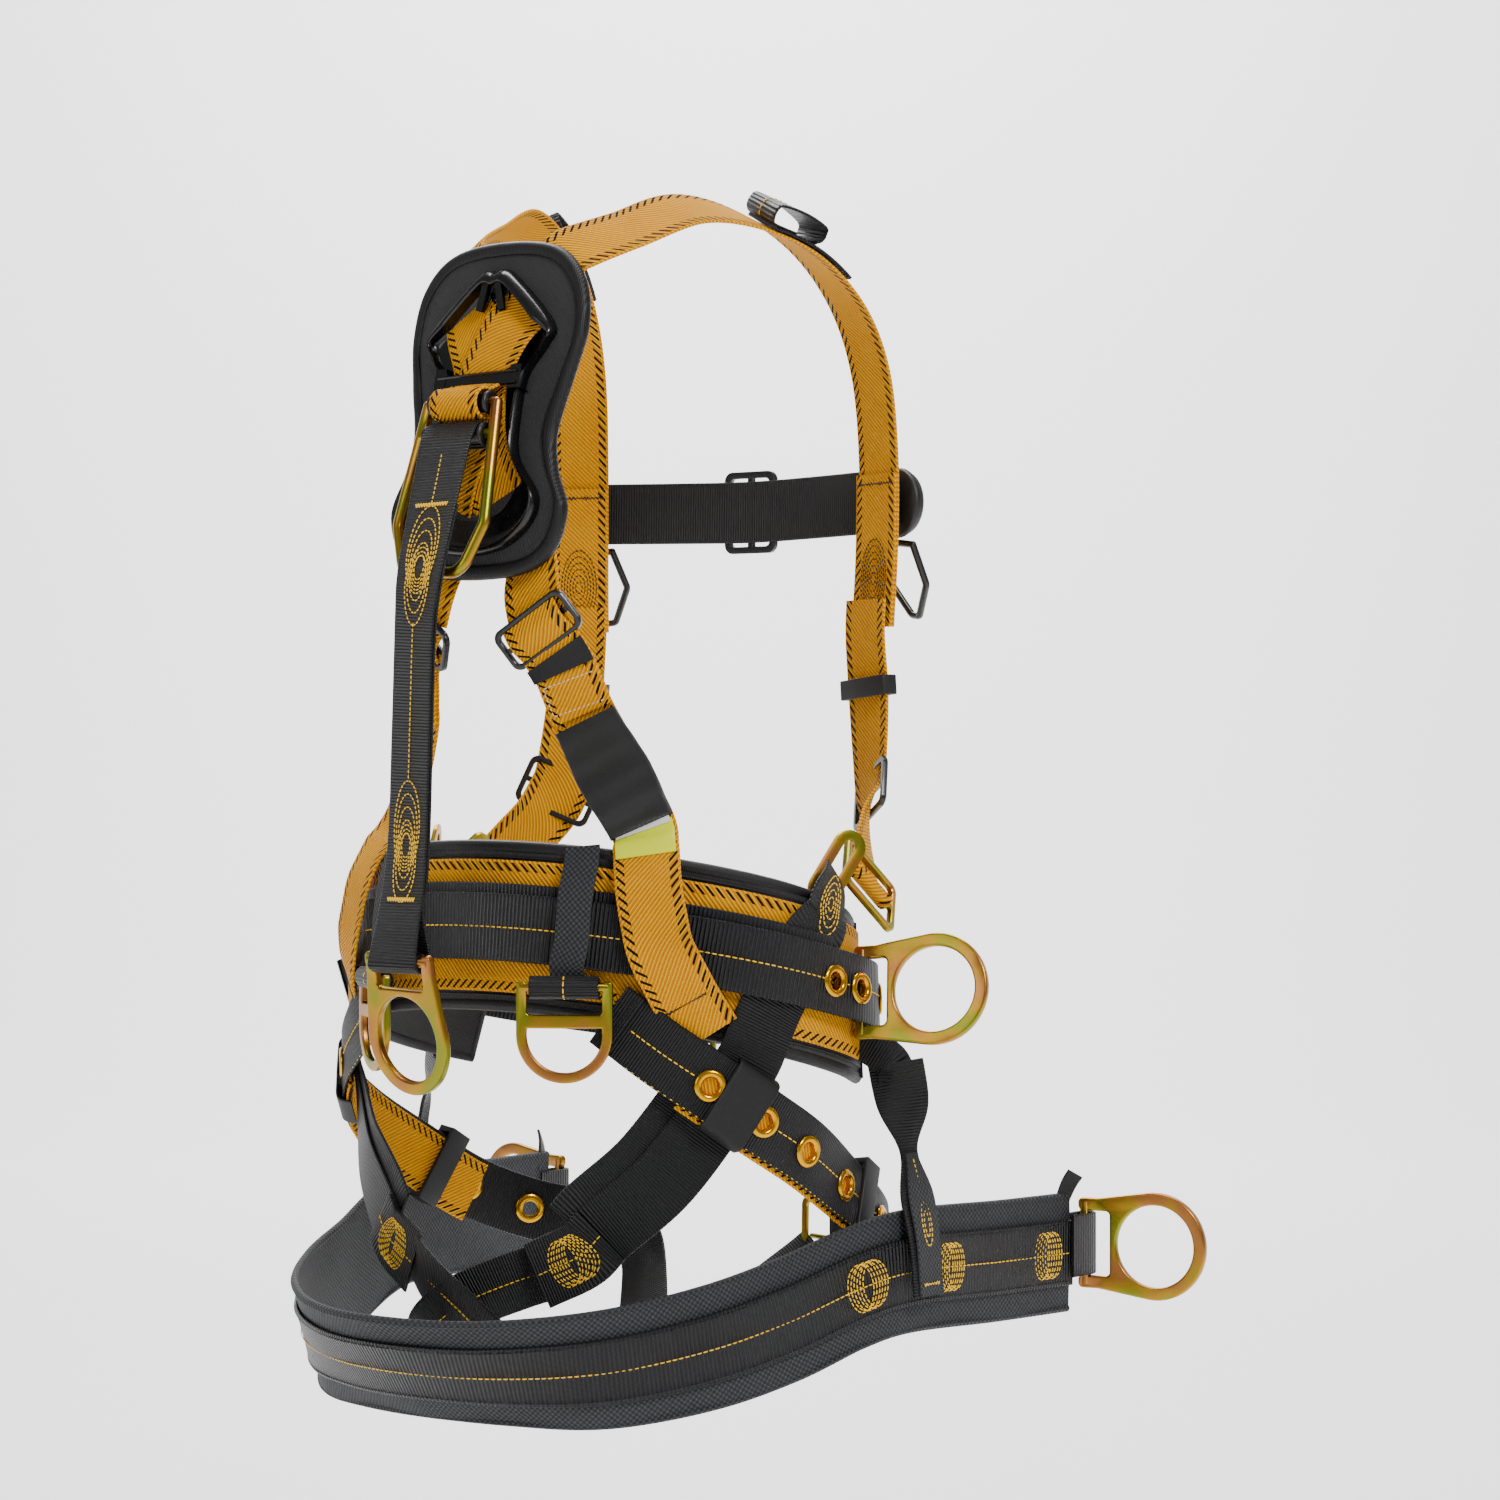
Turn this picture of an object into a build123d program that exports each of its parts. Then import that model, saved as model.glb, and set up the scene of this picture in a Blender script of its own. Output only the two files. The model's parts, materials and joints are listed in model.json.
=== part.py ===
from build123d import *
import math
import os

# Tower-climbing full-body harness, in millimetres, as it hangs on a standing wearer.
# +Z is up, the wearer faces -Y, the wearer's right is -X. The origin is the middle of
# the waist belt's opening. All webbing is flat stock, laid over a body form in layers.

# ---- driving dimensions ----
WEB = 45.0                 # shoulder, leg and hip webbing
WEB_THICK = 2.2
BELT = 45.0
BELT_THICK = 2.5
STEP = 17.0                # spacing of the webbing's cross-sections

# height, half width, half depth and middle in Y of the body that the harness fits
BODY = [
    (-317, 180, 135, 5), (-88, 185, 138, 5), (13, 180, 128, 2), (128, 157, 107, 10),
    (261, 175, 130, 6), (366, 190, 122, 4), (436, 235, 116, -6), (483, 190, 104, -8),
    (523, 130, 75, -10), (553, 80, 60, -12),
]
BELT_SLOPE = 0.3           # the belt drops towards the front
BELT_DEPTH = 128.0

# layers over the body at the waist: middle of each piece's thickness
WAIST_LEAN = 0.06          # the belt and its pad narrow slightly towards the top
PAD_OUT = 6.5
PAD_THICK = 9.0
PAD_TALL = 115.0
FACING_RISE = 6.2
FACING_THICK = 1.8
FACING_TALL = 88.0
BELT_OUT = 20.4
TONGUE_OUT = 31.4
SIDE_RING_ANGLE = 193
LEFT_RING_TURN = -38       # the left ring rests turned forwards on its bar
SIDE_RING_RISE = 6.7       # from a side ring's bar out to the belt that passes through it

# dorsal pad: its back face from the side, and half of its outline from the back
PAD_LINE = [(137, 262), (134, 330), (123, 390), (111, 445), (103, 508)]
DORSAL_THICK = 9.0
DORSAL_HALF = [(45, 494), (69, 472), (76, 440), (70, 405), (62, 368), (66, 342), (76, 315), (67, 288), (44, 274)]
DORSAL_TOP = 500.0
DORSAL_BOTTOM = 270.0
PLATE_HALF = [(13, 477), (52, 441), (50, 426), (36, 405), (34, 372), (38, 350), (57, 325), (52, 306), (30, 291)]
PLATE_TOP = 478.0
PLATE_BOTTOM = 286.0
PLATE_THICK = 2.5
RIM = 4.0                  # width of the plate's raised edge
UNDER_STRAP = 4.9          # heights of the two crossed straps over the pad
OVER_STRAP = 7.7
BRIDGE_LOW = 9.6
BRIDGE_HIGH = 12.6

# flat-plate D-rings of the sides, the saddle and the extension
RING_THICK = 6.0
ARM_HALF = 32.0
EYE_RADIUS = 29.0
EYE_AWAY = 53.0
RING_RADIUS = 38.0
BAR_RADIUS = 4.0
SLOT_HALF = 23.0
SLOT_END = 19.0

# rear rings
REAR_HALF = 32.0
REAR_STRAIGHT = 31.0

# ---- the body form ----


def body_at(z):
    """Half width, half depth and middle in Y of the body at a height."""
    if z <= BODY[0][0]:
        return BODY[0][1:]
    for low, high in zip(BODY, BODY[1:]):
        if z <= high[0]:
            u = (z - low[0]) / (high[0] - low[0])
            u = u * u * (3 - 2 * u)
            return tuple(low[i] + (high[i] - low[i]) * u for i in (1, 2, 3))
    return BODY[-1][1:]


def torso(angle, z, out):
    """A point that stands off the body: 90 degrees is the back, 180 the wearer's right."""
    half_x, half_y, middle = body_at(z)
    ux = math.cos(math.radians(angle))
    uy = math.sin(math.radians(angle))
    length = math.hypot(ux / half_x, uy / half_y)
    x = half_x * ux + out * ux / half_x / length
    y = middle + half_y * uy + out * uy / half_y / length
    return (x, y, z)


def outward(x, y, z):
    """The way a strap's outer face looks at a place on the body."""
    half_x, half_y, middle = body_at(min(z, 436))
    over = max(0.0, z - 430) / 13000
    return Vector(x / half_x**2, (y - middle) / half_y**2, over).normalized()


def around_waist(angle, out, drop=0.0):
    """A point on the tilted plane of the belt."""
    z = BELT_SLOPE * BELT_DEPTH * math.sin(math.radians(angle)) + drop
    return torso(angle, z, out)


def mirror_x(route):
    """The same route on the wearer's other side."""
    flip = (-1, 1, 1)
    return [tuple(v * flip[i % 3] for i, v in enumerate(point)) for point in route]


# ---- webbing ----


def smooth(route, step):
    """Evenly spaced rows along a smooth curve that passes through every point."""
    first = tuple(2 * a - b for a, b in zip(route[0], route[1]))
    last = tuple(2 * a - b for a, b in zip(route[-1], route[-2]))
    rows = [first] + list(route) + [last]
    fine = []
    for four in zip(rows, rows[1:], rows[2:], rows[3:]):
        for k in range(16):
            t = k / 16
            fine.append(tuple(
                0.5 * (2 * b + (c - a) * t + (2 * a - 5 * b + 4 * c - d) * t**2 + (3 * b - a - 3 * c + d) * t**3)
                for a, b, c, d in zip(*four)
            ))
    fine.append(tuple(route[-1]))
    reach = [0.0]
    for a, b in zip(fine, fine[1:]):
        reach.append(reach[-1] + math.dist(a[:3], b[:3]))
    count = max(2, round(reach[-1] / step))
    even = []
    k = 0
    for i in range(count + 1):
        goal = reach[-1] * i / count
        while k < len(reach) - 2 and reach[k + 1] < goal:
            k += 1
        u = (goal - reach[k]) / (reach[k + 1] - reach[k])
        even.append(tuple(a + (b - a) * u for a, b in zip(fine[k], fine[k + 1])))
    return even


def lay(route, step=STEP):
    """Frames along a strap: place, direction, width direction and outer face.

    A route's point is (x, y, z), which faces away from the body, or carries its
    own facing as three more numbers."""
    rows = smooth(route, step)
    frames = []
    for i, row in enumerate(rows):
        before = Vector(*rows[max(i - 1, 0)][:3])
        after = Vector(*rows[min(i + 1, len(rows) - 1)][:3])
        along = (after - before).normalized()
        face = Vector(*row[3:]) if len(row) == 6 else outward(*row[:3])
        face = (face - along * face.dot(along)).normalized()
        frames.append((Vector(*row[:3]), along, face.cross(along), face))
    return frames


def raised(frames, height):
    """The same strap, further out by a height."""
    return [(place + face * height, along, side, face) for place, along, side, face in frames]


def nearest(frames, point):
    """Index of the frame that lies closest to a point."""
    goal = Vector(*point)
    return min(range(len(frames)), key=lambda i: (frames[i][0] - goal).length)


def plane_at(frames, point, height=0.0):
    """A plane on the strap near a point: X along it, Z out of its face."""
    place, along, side, face = frames[nearest(frames, point)]
    return Plane(origin=place + face * height, x_dir=along, z_dir=face)


def faceted(rings):
    """A closed solid through matching rings of corners."""
    faces = []
    count = len(rings[0])
    for a, b in zip(rings, rings[1:]):
        for i in range(count):
            j = (i + 1) % count
            faces.append(Face(Wire.make_polygon([a[i], a[j], b[j]], close=True)))
            faces.append(Face(Wire.make_polygon([a[i], b[j], b[i]], close=True)))
    faces.append(Face(Wire.make_polygon(list(reversed(rings[0])), close=True)))
    faces.append(Face(Wire.make_polygon(list(rings[-1]), close=True)))
    return Solid(Shell(faces))


def band(frames, width=WEB, thick=WEB_THICK):
    """Flat webbing along the frames."""
    rings = []
    for place, along, side, face in frames:
        across = side * (width / 2)
        up = face * (thick / 2)
        rings.append([place + across + up, place - across + up, place - across - up, place + across - up])
    return faceted(rings)


def wrap(plane, width, inner, thick, tail=0.0):
    """Webbing round a bar that lies along the plane's X, with a tail along its Y."""
    outer = inner + thick
    ring = Cylinder(outer, width, rotation=(0, 90, 0)) - Cylinder(inner, width + 2, rotation=(0, 90, 0))
    if tail:
        leaf = Pos(0, tail / 2, inner + thick / 2) * Box(width, tail, thick)
        ring = ring + leaf
    return plane.location * ring


def sleeve_on(plane, length, bore, outer):
    """A tube round a bar that lies along the plane's X."""
    tube = Cylinder(outer, length, rotation=(0, 90, 0)) - Cylinder(bore, length + 2, rotation=(0, 90, 0))
    return plane.location * tube


# ---- metal ----


def rounded_plate(outline_face, thick, radius):
    """A plate with all the edges of both faces rounded."""
    body = Pos(0, 0, -thick / 2) * extrude(outline_face, thick)
    layers = body.edges().group_by(Axis.Z)
    return fillet(layers[0] + layers[-1], radius)


def plate_ring(plane):
    """A flat D-ring: its bar lies on the plane's X through its origin, its eye along Y."""
    reach = math.hypot(ARM_HALF, 10 - EYE_AWAY)
    turn = math.atan2(10 - EYE_AWAY, ARM_HALF) + math.acos(RING_RADIUS / reach)
    touch_x = RING_RADIUS * math.cos(turn)
    touch_y = EYE_AWAY + RING_RADIUS * math.sin(turn)
    sides = Polyline((touch_x, touch_y), (ARM_HALF, 10), (ARM_HALF, -5), (SLOT_HALF, -5), (SLOT_HALF, SLOT_END),
                     (-SLOT_HALF, SLOT_END), (-SLOT_HALF, -5), (-ARM_HALF, -5), (-ARM_HALF, 10), (-touch_x, touch_y))
    head = ThreePointArc((-touch_x, touch_y), (0, EYE_AWAY + RING_RADIUS), (touch_x, touch_y))
    flat = make_face(Wire(sides.edges() + head.edges()))
    corners = flat.vertices().filter_by(lambda v: v.Y < 25 and not (abs(v.X) > 31 and v.Y > 5))
    flat = fillet(corners, 3.5) - Pos(0, EYE_AWAY) * Circle(EYE_RADIUS)
    body = rounded_plate(flat, RING_THICK, 1.6)
    body = body + Cylinder(BAR_RADIUS, 2 * ARM_HALF - 6, rotation=(0, 90, 0))
    return plane.location * body


def rear_ring(plane):
    """A small D-ring with a strap slot, a cross bar and a half-round eye."""
    flat = Pos(0, REAR_STRAIGHT / 2 - 2) * Rectangle(2 * REAR_HALF, REAR_STRAIGHT + 4)
    flat = flat + Pos(0, REAR_STRAIGHT) * Circle(REAR_HALF)
    slot = Pos(0, 6) * Rectangle(50, 24)
    eye = Pos(0, REAR_STRAIGHT) * Circle(25) - Pos(0, 10) * Rectangle(70, 34)
    flat = flat - slot - eye
    corners = flat.vertices().filter_by(lambda v: v.Y < 19)
    body = rounded_plate(fillet(corners, 2.5), 5, 1.4)
    body = body + Cylinder(3.2, 2 * REAR_HALF - 6, rotation=(0, 90, 0))
    return plane.location * body


def rod_frame(plane, wide, tall, rod, middle_bar=True):
    """A rectangular buckle frame of flattened rod, with a middle bar along X."""
    outer = RectangleRounded(wide, tall, 7)
    inner = RectangleRounded(wide - 2 * rod, tall - 2 * rod, 4)
    body = Pos(0, 0, -rod / 2) * extrude(outer - inner, rod)
    body = chamfer(body.edges().group_by(Axis.Z)[-1], rod * 0.25)
    if middle_bar:
        body = body + Box(wide - rod, rod, rod * 0.6)
    return plane.location * body


def grommet(plane):
    """A rolled brass eyelet, its barrel along the plane's Z."""
    barrel = Cylinder(7.2, 5.4) - Cylinder(5.6, 8)
    rim = Torus(8.6, 2.3)
    flange = Pos(0, 0, 1.9) * (rim - Cylinder(5.6, 8))
    flange = flange & (Pos(0, 0, 3.4) * Box(40, 40, 4))
    washer = Pos(0, 0, -2.2) * (Cylinder(10.6, 0.9) - Cylinder(5.6, 8))
    return plane.location * (barrel + flange + washer)


# ---- routes: places on the wearer's right, in millimetres ----
SHOULDER_FRONT = [
    (-134, -132, 243, -0.3, -0.95, 0), (-136, -134, 300, -0.3, -0.95, 0), (-136, -134, 367, -0.3, -0.95, 0),
    (-133, -128, 424, -0.3, -0.9, 0.2), (-126, -110, 468, -0.35, -0.8, 0.5), (-114, -78, 502, -0.4, -0.5, 0.8),
    (-98, -35, 522, -0.45, -0.1, 0.9), (-80, 12, 527, -0.45, 0.3, 0.85), (-65, 60, 509, -0.3, 0.7, 0.6),
]
BACK_STRAP = [
    (-50, 136, 236), (-62, 126, 214), (-68, 119, 193), (-73, 113, 175), (-90, 103, 139),
    torso(131, 106, 9), torso(132, 91, 20), torso(132, 67, 27.5), torso(132.5, 44, 28), torso(133.5, 25, 28),
    torso(136.5, 5, 25.5), torso(140, -14, 18.5), torso(144, -32, 16),
]
HIP_STRAP = [
    (-182, -17, 80), (-189, -8, 66), torso(180, 52, 19), torso(177, 40, 18.2), torso(171, 30, 16.6),
    torso(164, 7, 15.7), torso(159, -16, 15.6), torso(156, -34, 15.8), torso(153.5, -50, 14), torso(149, -70, 9),
    torso(144, -94, 5), torso(134, -130, 4.5), torso(122, -161, 4.5), torso(117, -177, 5), torso(108, -191, 5),
]
LEG_STRAP = [
    torso(123, -19, 17), torso(133, -41, 17.5), torso(144.5, -64, 17.5), torso(157.5, -89, 15), torso(170.5, -111, 12.5),
    torso(187, -137, 10), (-186, -66, -167), (-163, -108, -186), (-130, -130, -193), (-92, -137, -193),
]
CROTCH_STRAP = [
    (-66, 132, -187, -0.3, 0.95, -0.2), (-34, 141, -198, -0.2, 0.95, -0.2), (5, 152, -216, 0.1, 0.9, -0.4),
    (38, 148, -242, 0.3, 0.8, -0.5), (50, 108, -268, 0.2, 0.3, -0.9), (40, 50, -278, 0, 0, -1),
    (5, -15, -272, 0, -0.2, -1), (-35, -75, -248, 0.1, -0.5, -0.85), (-68, -116, -217, 0, -0.9, -0.4),
    (-84, -136, -200, 0, -0.95, -0.2),
]
SADDLE = [
    (0, 215, -249, 0, 0.85, -0.55), (-70, 199, -249, -0.25, 0.85, -0.5), (-130, 165, -245, -0.6, 0.8, -0.3),
    (-172, 112, -234, -0.85, 0.5, -0.1), (-195, 55, -220, -0.95, 0.3, 0), (-212, 0, -203, -1, 0.2, 0),
    (-222, -50, -196, -1, 0.1, 0), (-232, -140, -198, -1, 0.1, 0), (-240, -218, -199, -1, 0.1, 0),
]
LINK_STRAP = [
    (-208, -52, -56, -0.6, 0.8, 0), (-214, -52, -84, -0.65, 0.75, 0), (-218, -52, -114, -0.95, 0.3, 0),
    (-226, -52, -145, -1, 0.1, 0), (-232, -52, -175, -1, 0, 0), (-235, -52, -212, -1, 0, 0),
]
FRONT_STRAP = [
    (-131, -126, 262, -0.3, -0.95, 0), (-131, -125, 235, -0.3, -0.95, 0), (-134, -125, 195, -0.3, -0.95, 0),
    (-138, -121, 150, -0.4, -0.9, 0), (-141, -116, 128, -0.5, -0.85, 0), (-148, -104, 106, -0.75, -0.6, 0.1),
    (-160, -86, 86, -0.9, -0.3, 0.1), (-175, -62, 62, -0.98, 0.1, 0.1),
]
CHEST_STRAP = [
    (-150, -138.5, 332, -0.3, -0.95, 0), (-120, -146, 332, -0.2, -0.97, 0), (-60, -158, 331, -0.1, -1, 0),
    (0, -162, 330, 0, -1, 0),
]
GROMMET_PLACES = LEG_STRAP[2:8]

DORSAL_BAR = Vector(0, 155, 387)          # the dorsal ring's upper bar
DORSAL_DOWN = Vector(0, 0.262, -0.965)    # from its bar to its round end
EXTENSION_BAR = Vector(10, 207, 17)
REAR_BAR = Vector(-84, 150, 0)
SADDLE_BAR = Vector(-243, -238, -194)
FRONT_BAR = Vector(-140, -152, 303)


def both(maker):
    """A piece for the wearer's right and its mirror image for the left."""
    right = maker()
    return right, mirror(right, about=Plane.YZ)


def pad_y(z):
    """Y of the dorsal pad's outer face at a height."""
    rows = smooth(PAD_LINE, 6)
    for low, high in zip(rows, rows[1:]):
        if z <= high[1]:
            u = (z - low[1]) / (high[1] - low[1])
            return low[0] + (high[0] - low[0]) * u + DORSAL_THICK
    return rows[-1][0] + DORSAL_THICK


def on_pad(x, z, height):
    """A point over the dorsal pad's outer face, facing back."""
    lean = (pad_y(z - 5) - pad_y(z + 5)) / 10
    return (x, pad_y(z) + height, z, 0, 1, lean)


def outline(half, top, bottom):
    """A closed sketch, the same on both sides, upright in the XZ plane."""
    left = [(0, top)] + half + [(0, bottom)]
    right = [(-x, z) for x, z in reversed(half)]
    edge = Spline(*[(x, 0, z) for x, z in left + right], periodic=True)
    return make_face(edge)


def slab(low, high):
    """The space between two heights over the dorsal pad's outer face."""
    rows = smooth(PAD_LINE, 12)
    inner = [(0, y + DORSAL_THICK + low, z) for y, z in rows]
    outer = [(0, y + DORSAL_THICK + high, z) for y, z in reversed(rows)]
    side = make_face(Polyline(*inner, *outer, close=True))
    return Pos(-100, 0, 0) * extrude(side, 200, dir=(1, 0, 0))


def upright(face):
    """A prism through the whole depth of the back, from an outline."""
    return Pos(0, 80, 0) * extrude(face, 110, dir=(0, 1, 0))


def crossing(height):
    """The wearer's right shoulder strap over the dorsal pad, to the left of the waist."""
    return [
        on_pad(-48, 491, -12.6), on_pad(-41, 478, -12), on_pad(-30, 460, -3), on_pad(-18, 441, height - 0.8),
        on_pad(-9, 424, height), on_pad(-2, 405, height), on_pad(0, 385, height), on_pad(4, 364, height),
        on_pad(13, 341, height - 0.8), on_pad(25, 317, -3), on_pad(34, 299, -12), on_pad(41, 280, -12.4),
        (45, 137, 260, 0.1, 1, 0), (49, 136, 244, 0.2, 1, 0),
    ]


SHOULDER_RIGHT = lay(SHOULDER_FRONT + crossing(OVER_STRAP))
SHOULDER_LEFT = lay(mirror_x(SHOULDER_FRONT + crossing(UNDER_STRAP)))


def slots():
    """The openings that the crossed straps pass through."""
    cuts = []
    for frames in (SHOULDER_RIGHT, SHOULDER_LEFT):
        first = nearest(frames, on_pad(0, 480, 0)[:3])
        last = nearest(frames, on_pad(0, 292, 0)[:3])
        for start, stop in ((first - 3, first + 4), (last - 4, last + 3)):
            cuts.append(band(frames[start:stop], WEB + 4, 6.5))
    return cuts


def dorsal_pad():
    body = upright(outline(DORSAL_HALF, DORSAL_TOP, DORSAL_BOTTOM)) & slab(-DORSAL_THICK, 0)
    for cut in slots():
        body = body - cut
    return body


def dorsal_plate():
    whole = outline(PLATE_HALF, PLATE_TOP, PLATE_BOTTOM)
    body = upright(whole) & slab(0.3, BRIDGE_HIGH - 4)
    middle = (PLATE_TOP + PLATE_BOTTOM) / 2
    inner = [(x - RIM, z + math.copysign(min(RIM, abs(middle - z) / 8), middle - z)) for x, z in PLATE_HALF]
    inner_face = outline(inner, PLATE_TOP - RIM, PLATE_BOTTOM + RIM)
    body = body - (upright(inner_face) & slab(0.3 + PLATE_THICK, BRIDGE_HIGH))
    for cut in slots():
        body = body - cut
    posts = Pos(-31, 140, 405) * Box(6, 60, 10) + Pos(31, 140, 405) * Box(6, 60, 10)
    bridge = Pos(0, 140, 405) * Box(68, 60, 9) & slab(BRIDGE_LOW, BRIDGE_HIGH)
    return body + (posts & slab(0.3 + PLATE_THICK / 2, BRIDGE_HIGH)) + bridge


def dorsal_ring():
    """Bent round bar: narrow at its strap bar, wide below, with a rounded end."""
    side = FilletPolyline((30, 0), (38, 84), (25, 118), (-25, 118), (-38, 84), (-30, 0), radius=[14, 14, 14, 14])
    section = Plane(origin=side @ 0, z_dir=side % 0) * Circle(4)
    body = sweep(section, path=side)
    for y in (0, 22):
        half = 30 + 8 * y / 84
        body = body + Pos(0, y) * Cylinder(4, 2 * half, rotation=(0, 90, 0))
    for x in (-30, 30):
        body = body + Pos(x, 0) * Sphere(4)
    plane = Plane(origin=DORSAL_BAR, x_dir=(-1, 0, 0), z_dir=Vector(-1, 0, 0).cross(DORSAL_DOWN))
    return plane.location * body


def dorsal_bar(y):
    return Plane(origin=DORSAL_BAR + DORSAL_DOWN * y, x_dir=(1, 0, 0), z_dir=(0, 1, 0))


def extension_strap():
    """Doubled webbing from the dorsal ring's lower bar to the extension ring."""
    top = DORSAL_BAR + DORSAL_DOWN * 22
    route = [
        (0, top.Y + 9.4, top.Z, 0, 1, 0.2), (0, 180, 332, 0.05, 1, 0.2), (0, 189, 303, 0.1, 1, 0.1),
        (0, 198, 270, 0.15, 1, 0.1), (3, 199, 237, 0.25, 1, 0), (6, 199, 163, 0.26, 1, 0),
        (8, 200, 95, 0.24, 1, 0), (9, 206, 50, 0.15, 1, 0), (10, 207 + 9.4, 17, 0.12, 1, 0),
    ]
    frames = lay(route, 14)
    body = band(frames, WEB, 4.2)
    body = body + wrap(dorsal_bar(22), WEB, 6.8, 2.4)
    return body + wrap(extension_plane(), WEB, 6.4, 2.4)


def extension_plane():
    down = Vector(0, -0.18, -0.98).normalized()
    x_dir = Vector(1, -0.12, 0).normalized()
    face = x_dir.cross(down).normalized()
    return Plane(origin=EXTENSION_BAR, x_dir=down.cross(face), z_dir=face)


def side_plane(angle, turn):
    """A side ring's plane on the belt: X up its bar, Y out of the hip, turned about its bar."""
    frames = BELT_LINE[:len(BELT_LINE) * 3 // 4]
    place, along, side, face = frames[nearest(frames, around_waist(angle, BELT_OUT + SIDE_RING_RISE))]
    away = face.rotate(Axis((0, 0, 0), side), turn)
    return Plane(origin=place - face * SIDE_RING_RISE, x_dir=side, z_dir=side.cross(away))


def rear_plane():
    face = Vector(-0.53, 0.85, 0).normalized()
    return Plane(origin=REAR_BAR, x_dir=Vector(0, 0, -1).cross(face), z_dir=face)


def saddle_plane():
    bar = Vector(0, 0, 1)
    away = Vector(-0.985, -0.17, 0)
    return Plane(origin=SADDLE_BAR, x_dir=bar, z_dir=bar.cross(away))


def front_ring():
    """A small triangular ring under the chest cover."""
    side = FilletPolyline((17, 0), (21, 30), (4, 56), (-4, 56), (-21, 30), (-17, 0), radius=[6, 4, 4, 6])
    section = Plane(origin=side @ 0, z_dir=side % 0) * Circle(2.6)
    body = sweep(section, path=side) + Cylinder(2.6, 34, rotation=(0, 90, 0))
    for x in (-17, 17):
        body = body + Pos(x, 0) * Sphere(2.6)
    down = Vector(0, -0.41, -0.91).normalized()
    x_dir = Vector(0.95, -0.31, 0).normalized()
    face = x_dir.cross(down).normalized()
    plane = Plane(origin=FRONT_BAR, x_dir=down.cross(face), z_dir=face)
    return plane.location * body


LEG = lay(LEG_STRAP, 15)
BACK = lay(BACK_STRAP, 15)
HIP = lay(HIP_STRAP, 15)
FRONT = lay(FRONT_STRAP, 7)


def back_strap():
    """Orange webbing from the back adjuster over the belt, and its lining under the leg strap."""
    first = nearest(LEG, (-173, 80, -77))
    last = nearest(LEG, (-193, -14, -137))
    lining = raised(LEG[first:last + 1], -4.6)
    return Compound([band(BACK), band(lining, WEB + 1, 1.8)])


def punched(body, frames, places, radius):
    """Cuts a round hole through a strap at each place."""
    for place in places:
        body = body - plane_at(frames, place).location * Cylinder(radius, 12)
    return body


def leg_strap():
    return punched(band(LEG), LEG, GROMMET_PLACES, 7.4)


def leg_grommets():
    return Compound([grommet(plane_at(LEG, place)) for place in GROMMET_PLACES])


def leg_keeper():
    """A moulded keeper round the leg strap."""
    plane = plane_at(LEG, (-190, -38, -150))
    shell = Box(19, 57, 16) - Box(30, 49, 9.5)
    return plane.location * (Pos(0, 0, -1.5) * shell)


def leg_buckle():
    """Tongue buckle frame at the front of the thigh."""
    plane = plane_at(LEG, (-92, -137, -193), -3.8)
    return rod_frame(Plane(origin=plane.origin, x_dir=plane.y_dir, z_dir=plane.z_dir), 60, 46, 4.4, False)


def prong(plane, length):
    """A buckle's tongue, lying on the strap along the plane's X."""
    return plane.location * (Pos(0, 0, 3.4) * Cylinder(2, length, rotation=(0, 90, 0)))


def leg_loop():
    """A flat band sewn to the hip strap, with the leg strap through it."""
    upper, lower = Vector(*GROMMET_PLACES[0]), Vector(*GROMMET_PLACES[1])
    plane = plane_at(LEG, (upper + lower) / 2)
    return plane.location * (Box(22, 51, 6) - Box(24, 48, 3.4))


def crotch_strap(lift):
    route = []
    for k, point in enumerate(CROTCH_STRAP):
        face = Vector(*point[3:]).normalized()
        place = Vector(*point[:3]) + face * (lift if 0 < k < len(CROTCH_STRAP) - 1 else 0)
        route.append(tuple(place) + tuple(face))
    return band(lay(route, 15), 40)


def saddle_frames():
    left = mirror_x(SADDLE)
    return lay(list(reversed(left)) + SADDLE[1:], 18)


def saddle_webbing():
    """Outer webbing of the saddle with the loops that hold its two rings."""
    frames = raised(saddle_frames(), 4.6)
    body = band(frames, 46, 2.4)
    plane = saddle_plane()
    loop = wrap(Plane(origin=SADDLE_BAR, x_dir=plane.x_dir, z_dir=(-1, 0, 0)), 44, 5.0, 2.4, 22)
    return Compound([body, loop, mirror(loop, about=Plane.YZ)])


def belt_out(angle):
    """How far the belt stands off the body: over the side rings' bars, then over itself."""
    bump = max(math.exp(-((angle - ring) / 11) ** 2) for ring in (180 - SIDE_RING_ANGLE, SIDE_RING_ANGLE))
    out = BELT_OUT + SIDE_RING_RISE * bump
    rise = min(1.0, max(0.0, (angle - 250) / 24))
    rise = rise * rise * (3 - 2 * rise)
    flare = max(0.0, angle - 347) ** 2 * 0.07
    return out + (TONGUE_OUT - out) * rise + flare


def belt_frames():
    """Once round the waist from the buckle, then over itself to the free end."""
    route = []
    for angle in range(-76, 366, 8):
        drop = -0.14 * max(0, angle - 352) ** 2
        point = around_waist(angle, belt_out(angle), drop)
        face = outward(*point)
        route.append(point + (face.X, face.Y, WAIST_LEAN))
    return lay(route, 17)


BELT_LINE = belt_frames()
BELT_GROMMETS = [around_waist(angle, BELT_OUT) for angle in (177, 186, 201, 213, 225, 237)]


def waist_line(first, last, out):
    route = []
    for angle in range(first, last + 1, 8):
        point = around_waist(angle, out)
        face = outward(*point)
        route.append(point + (face.X, face.Y, WAIST_LEAN))
    return lay(route, 17)


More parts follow.
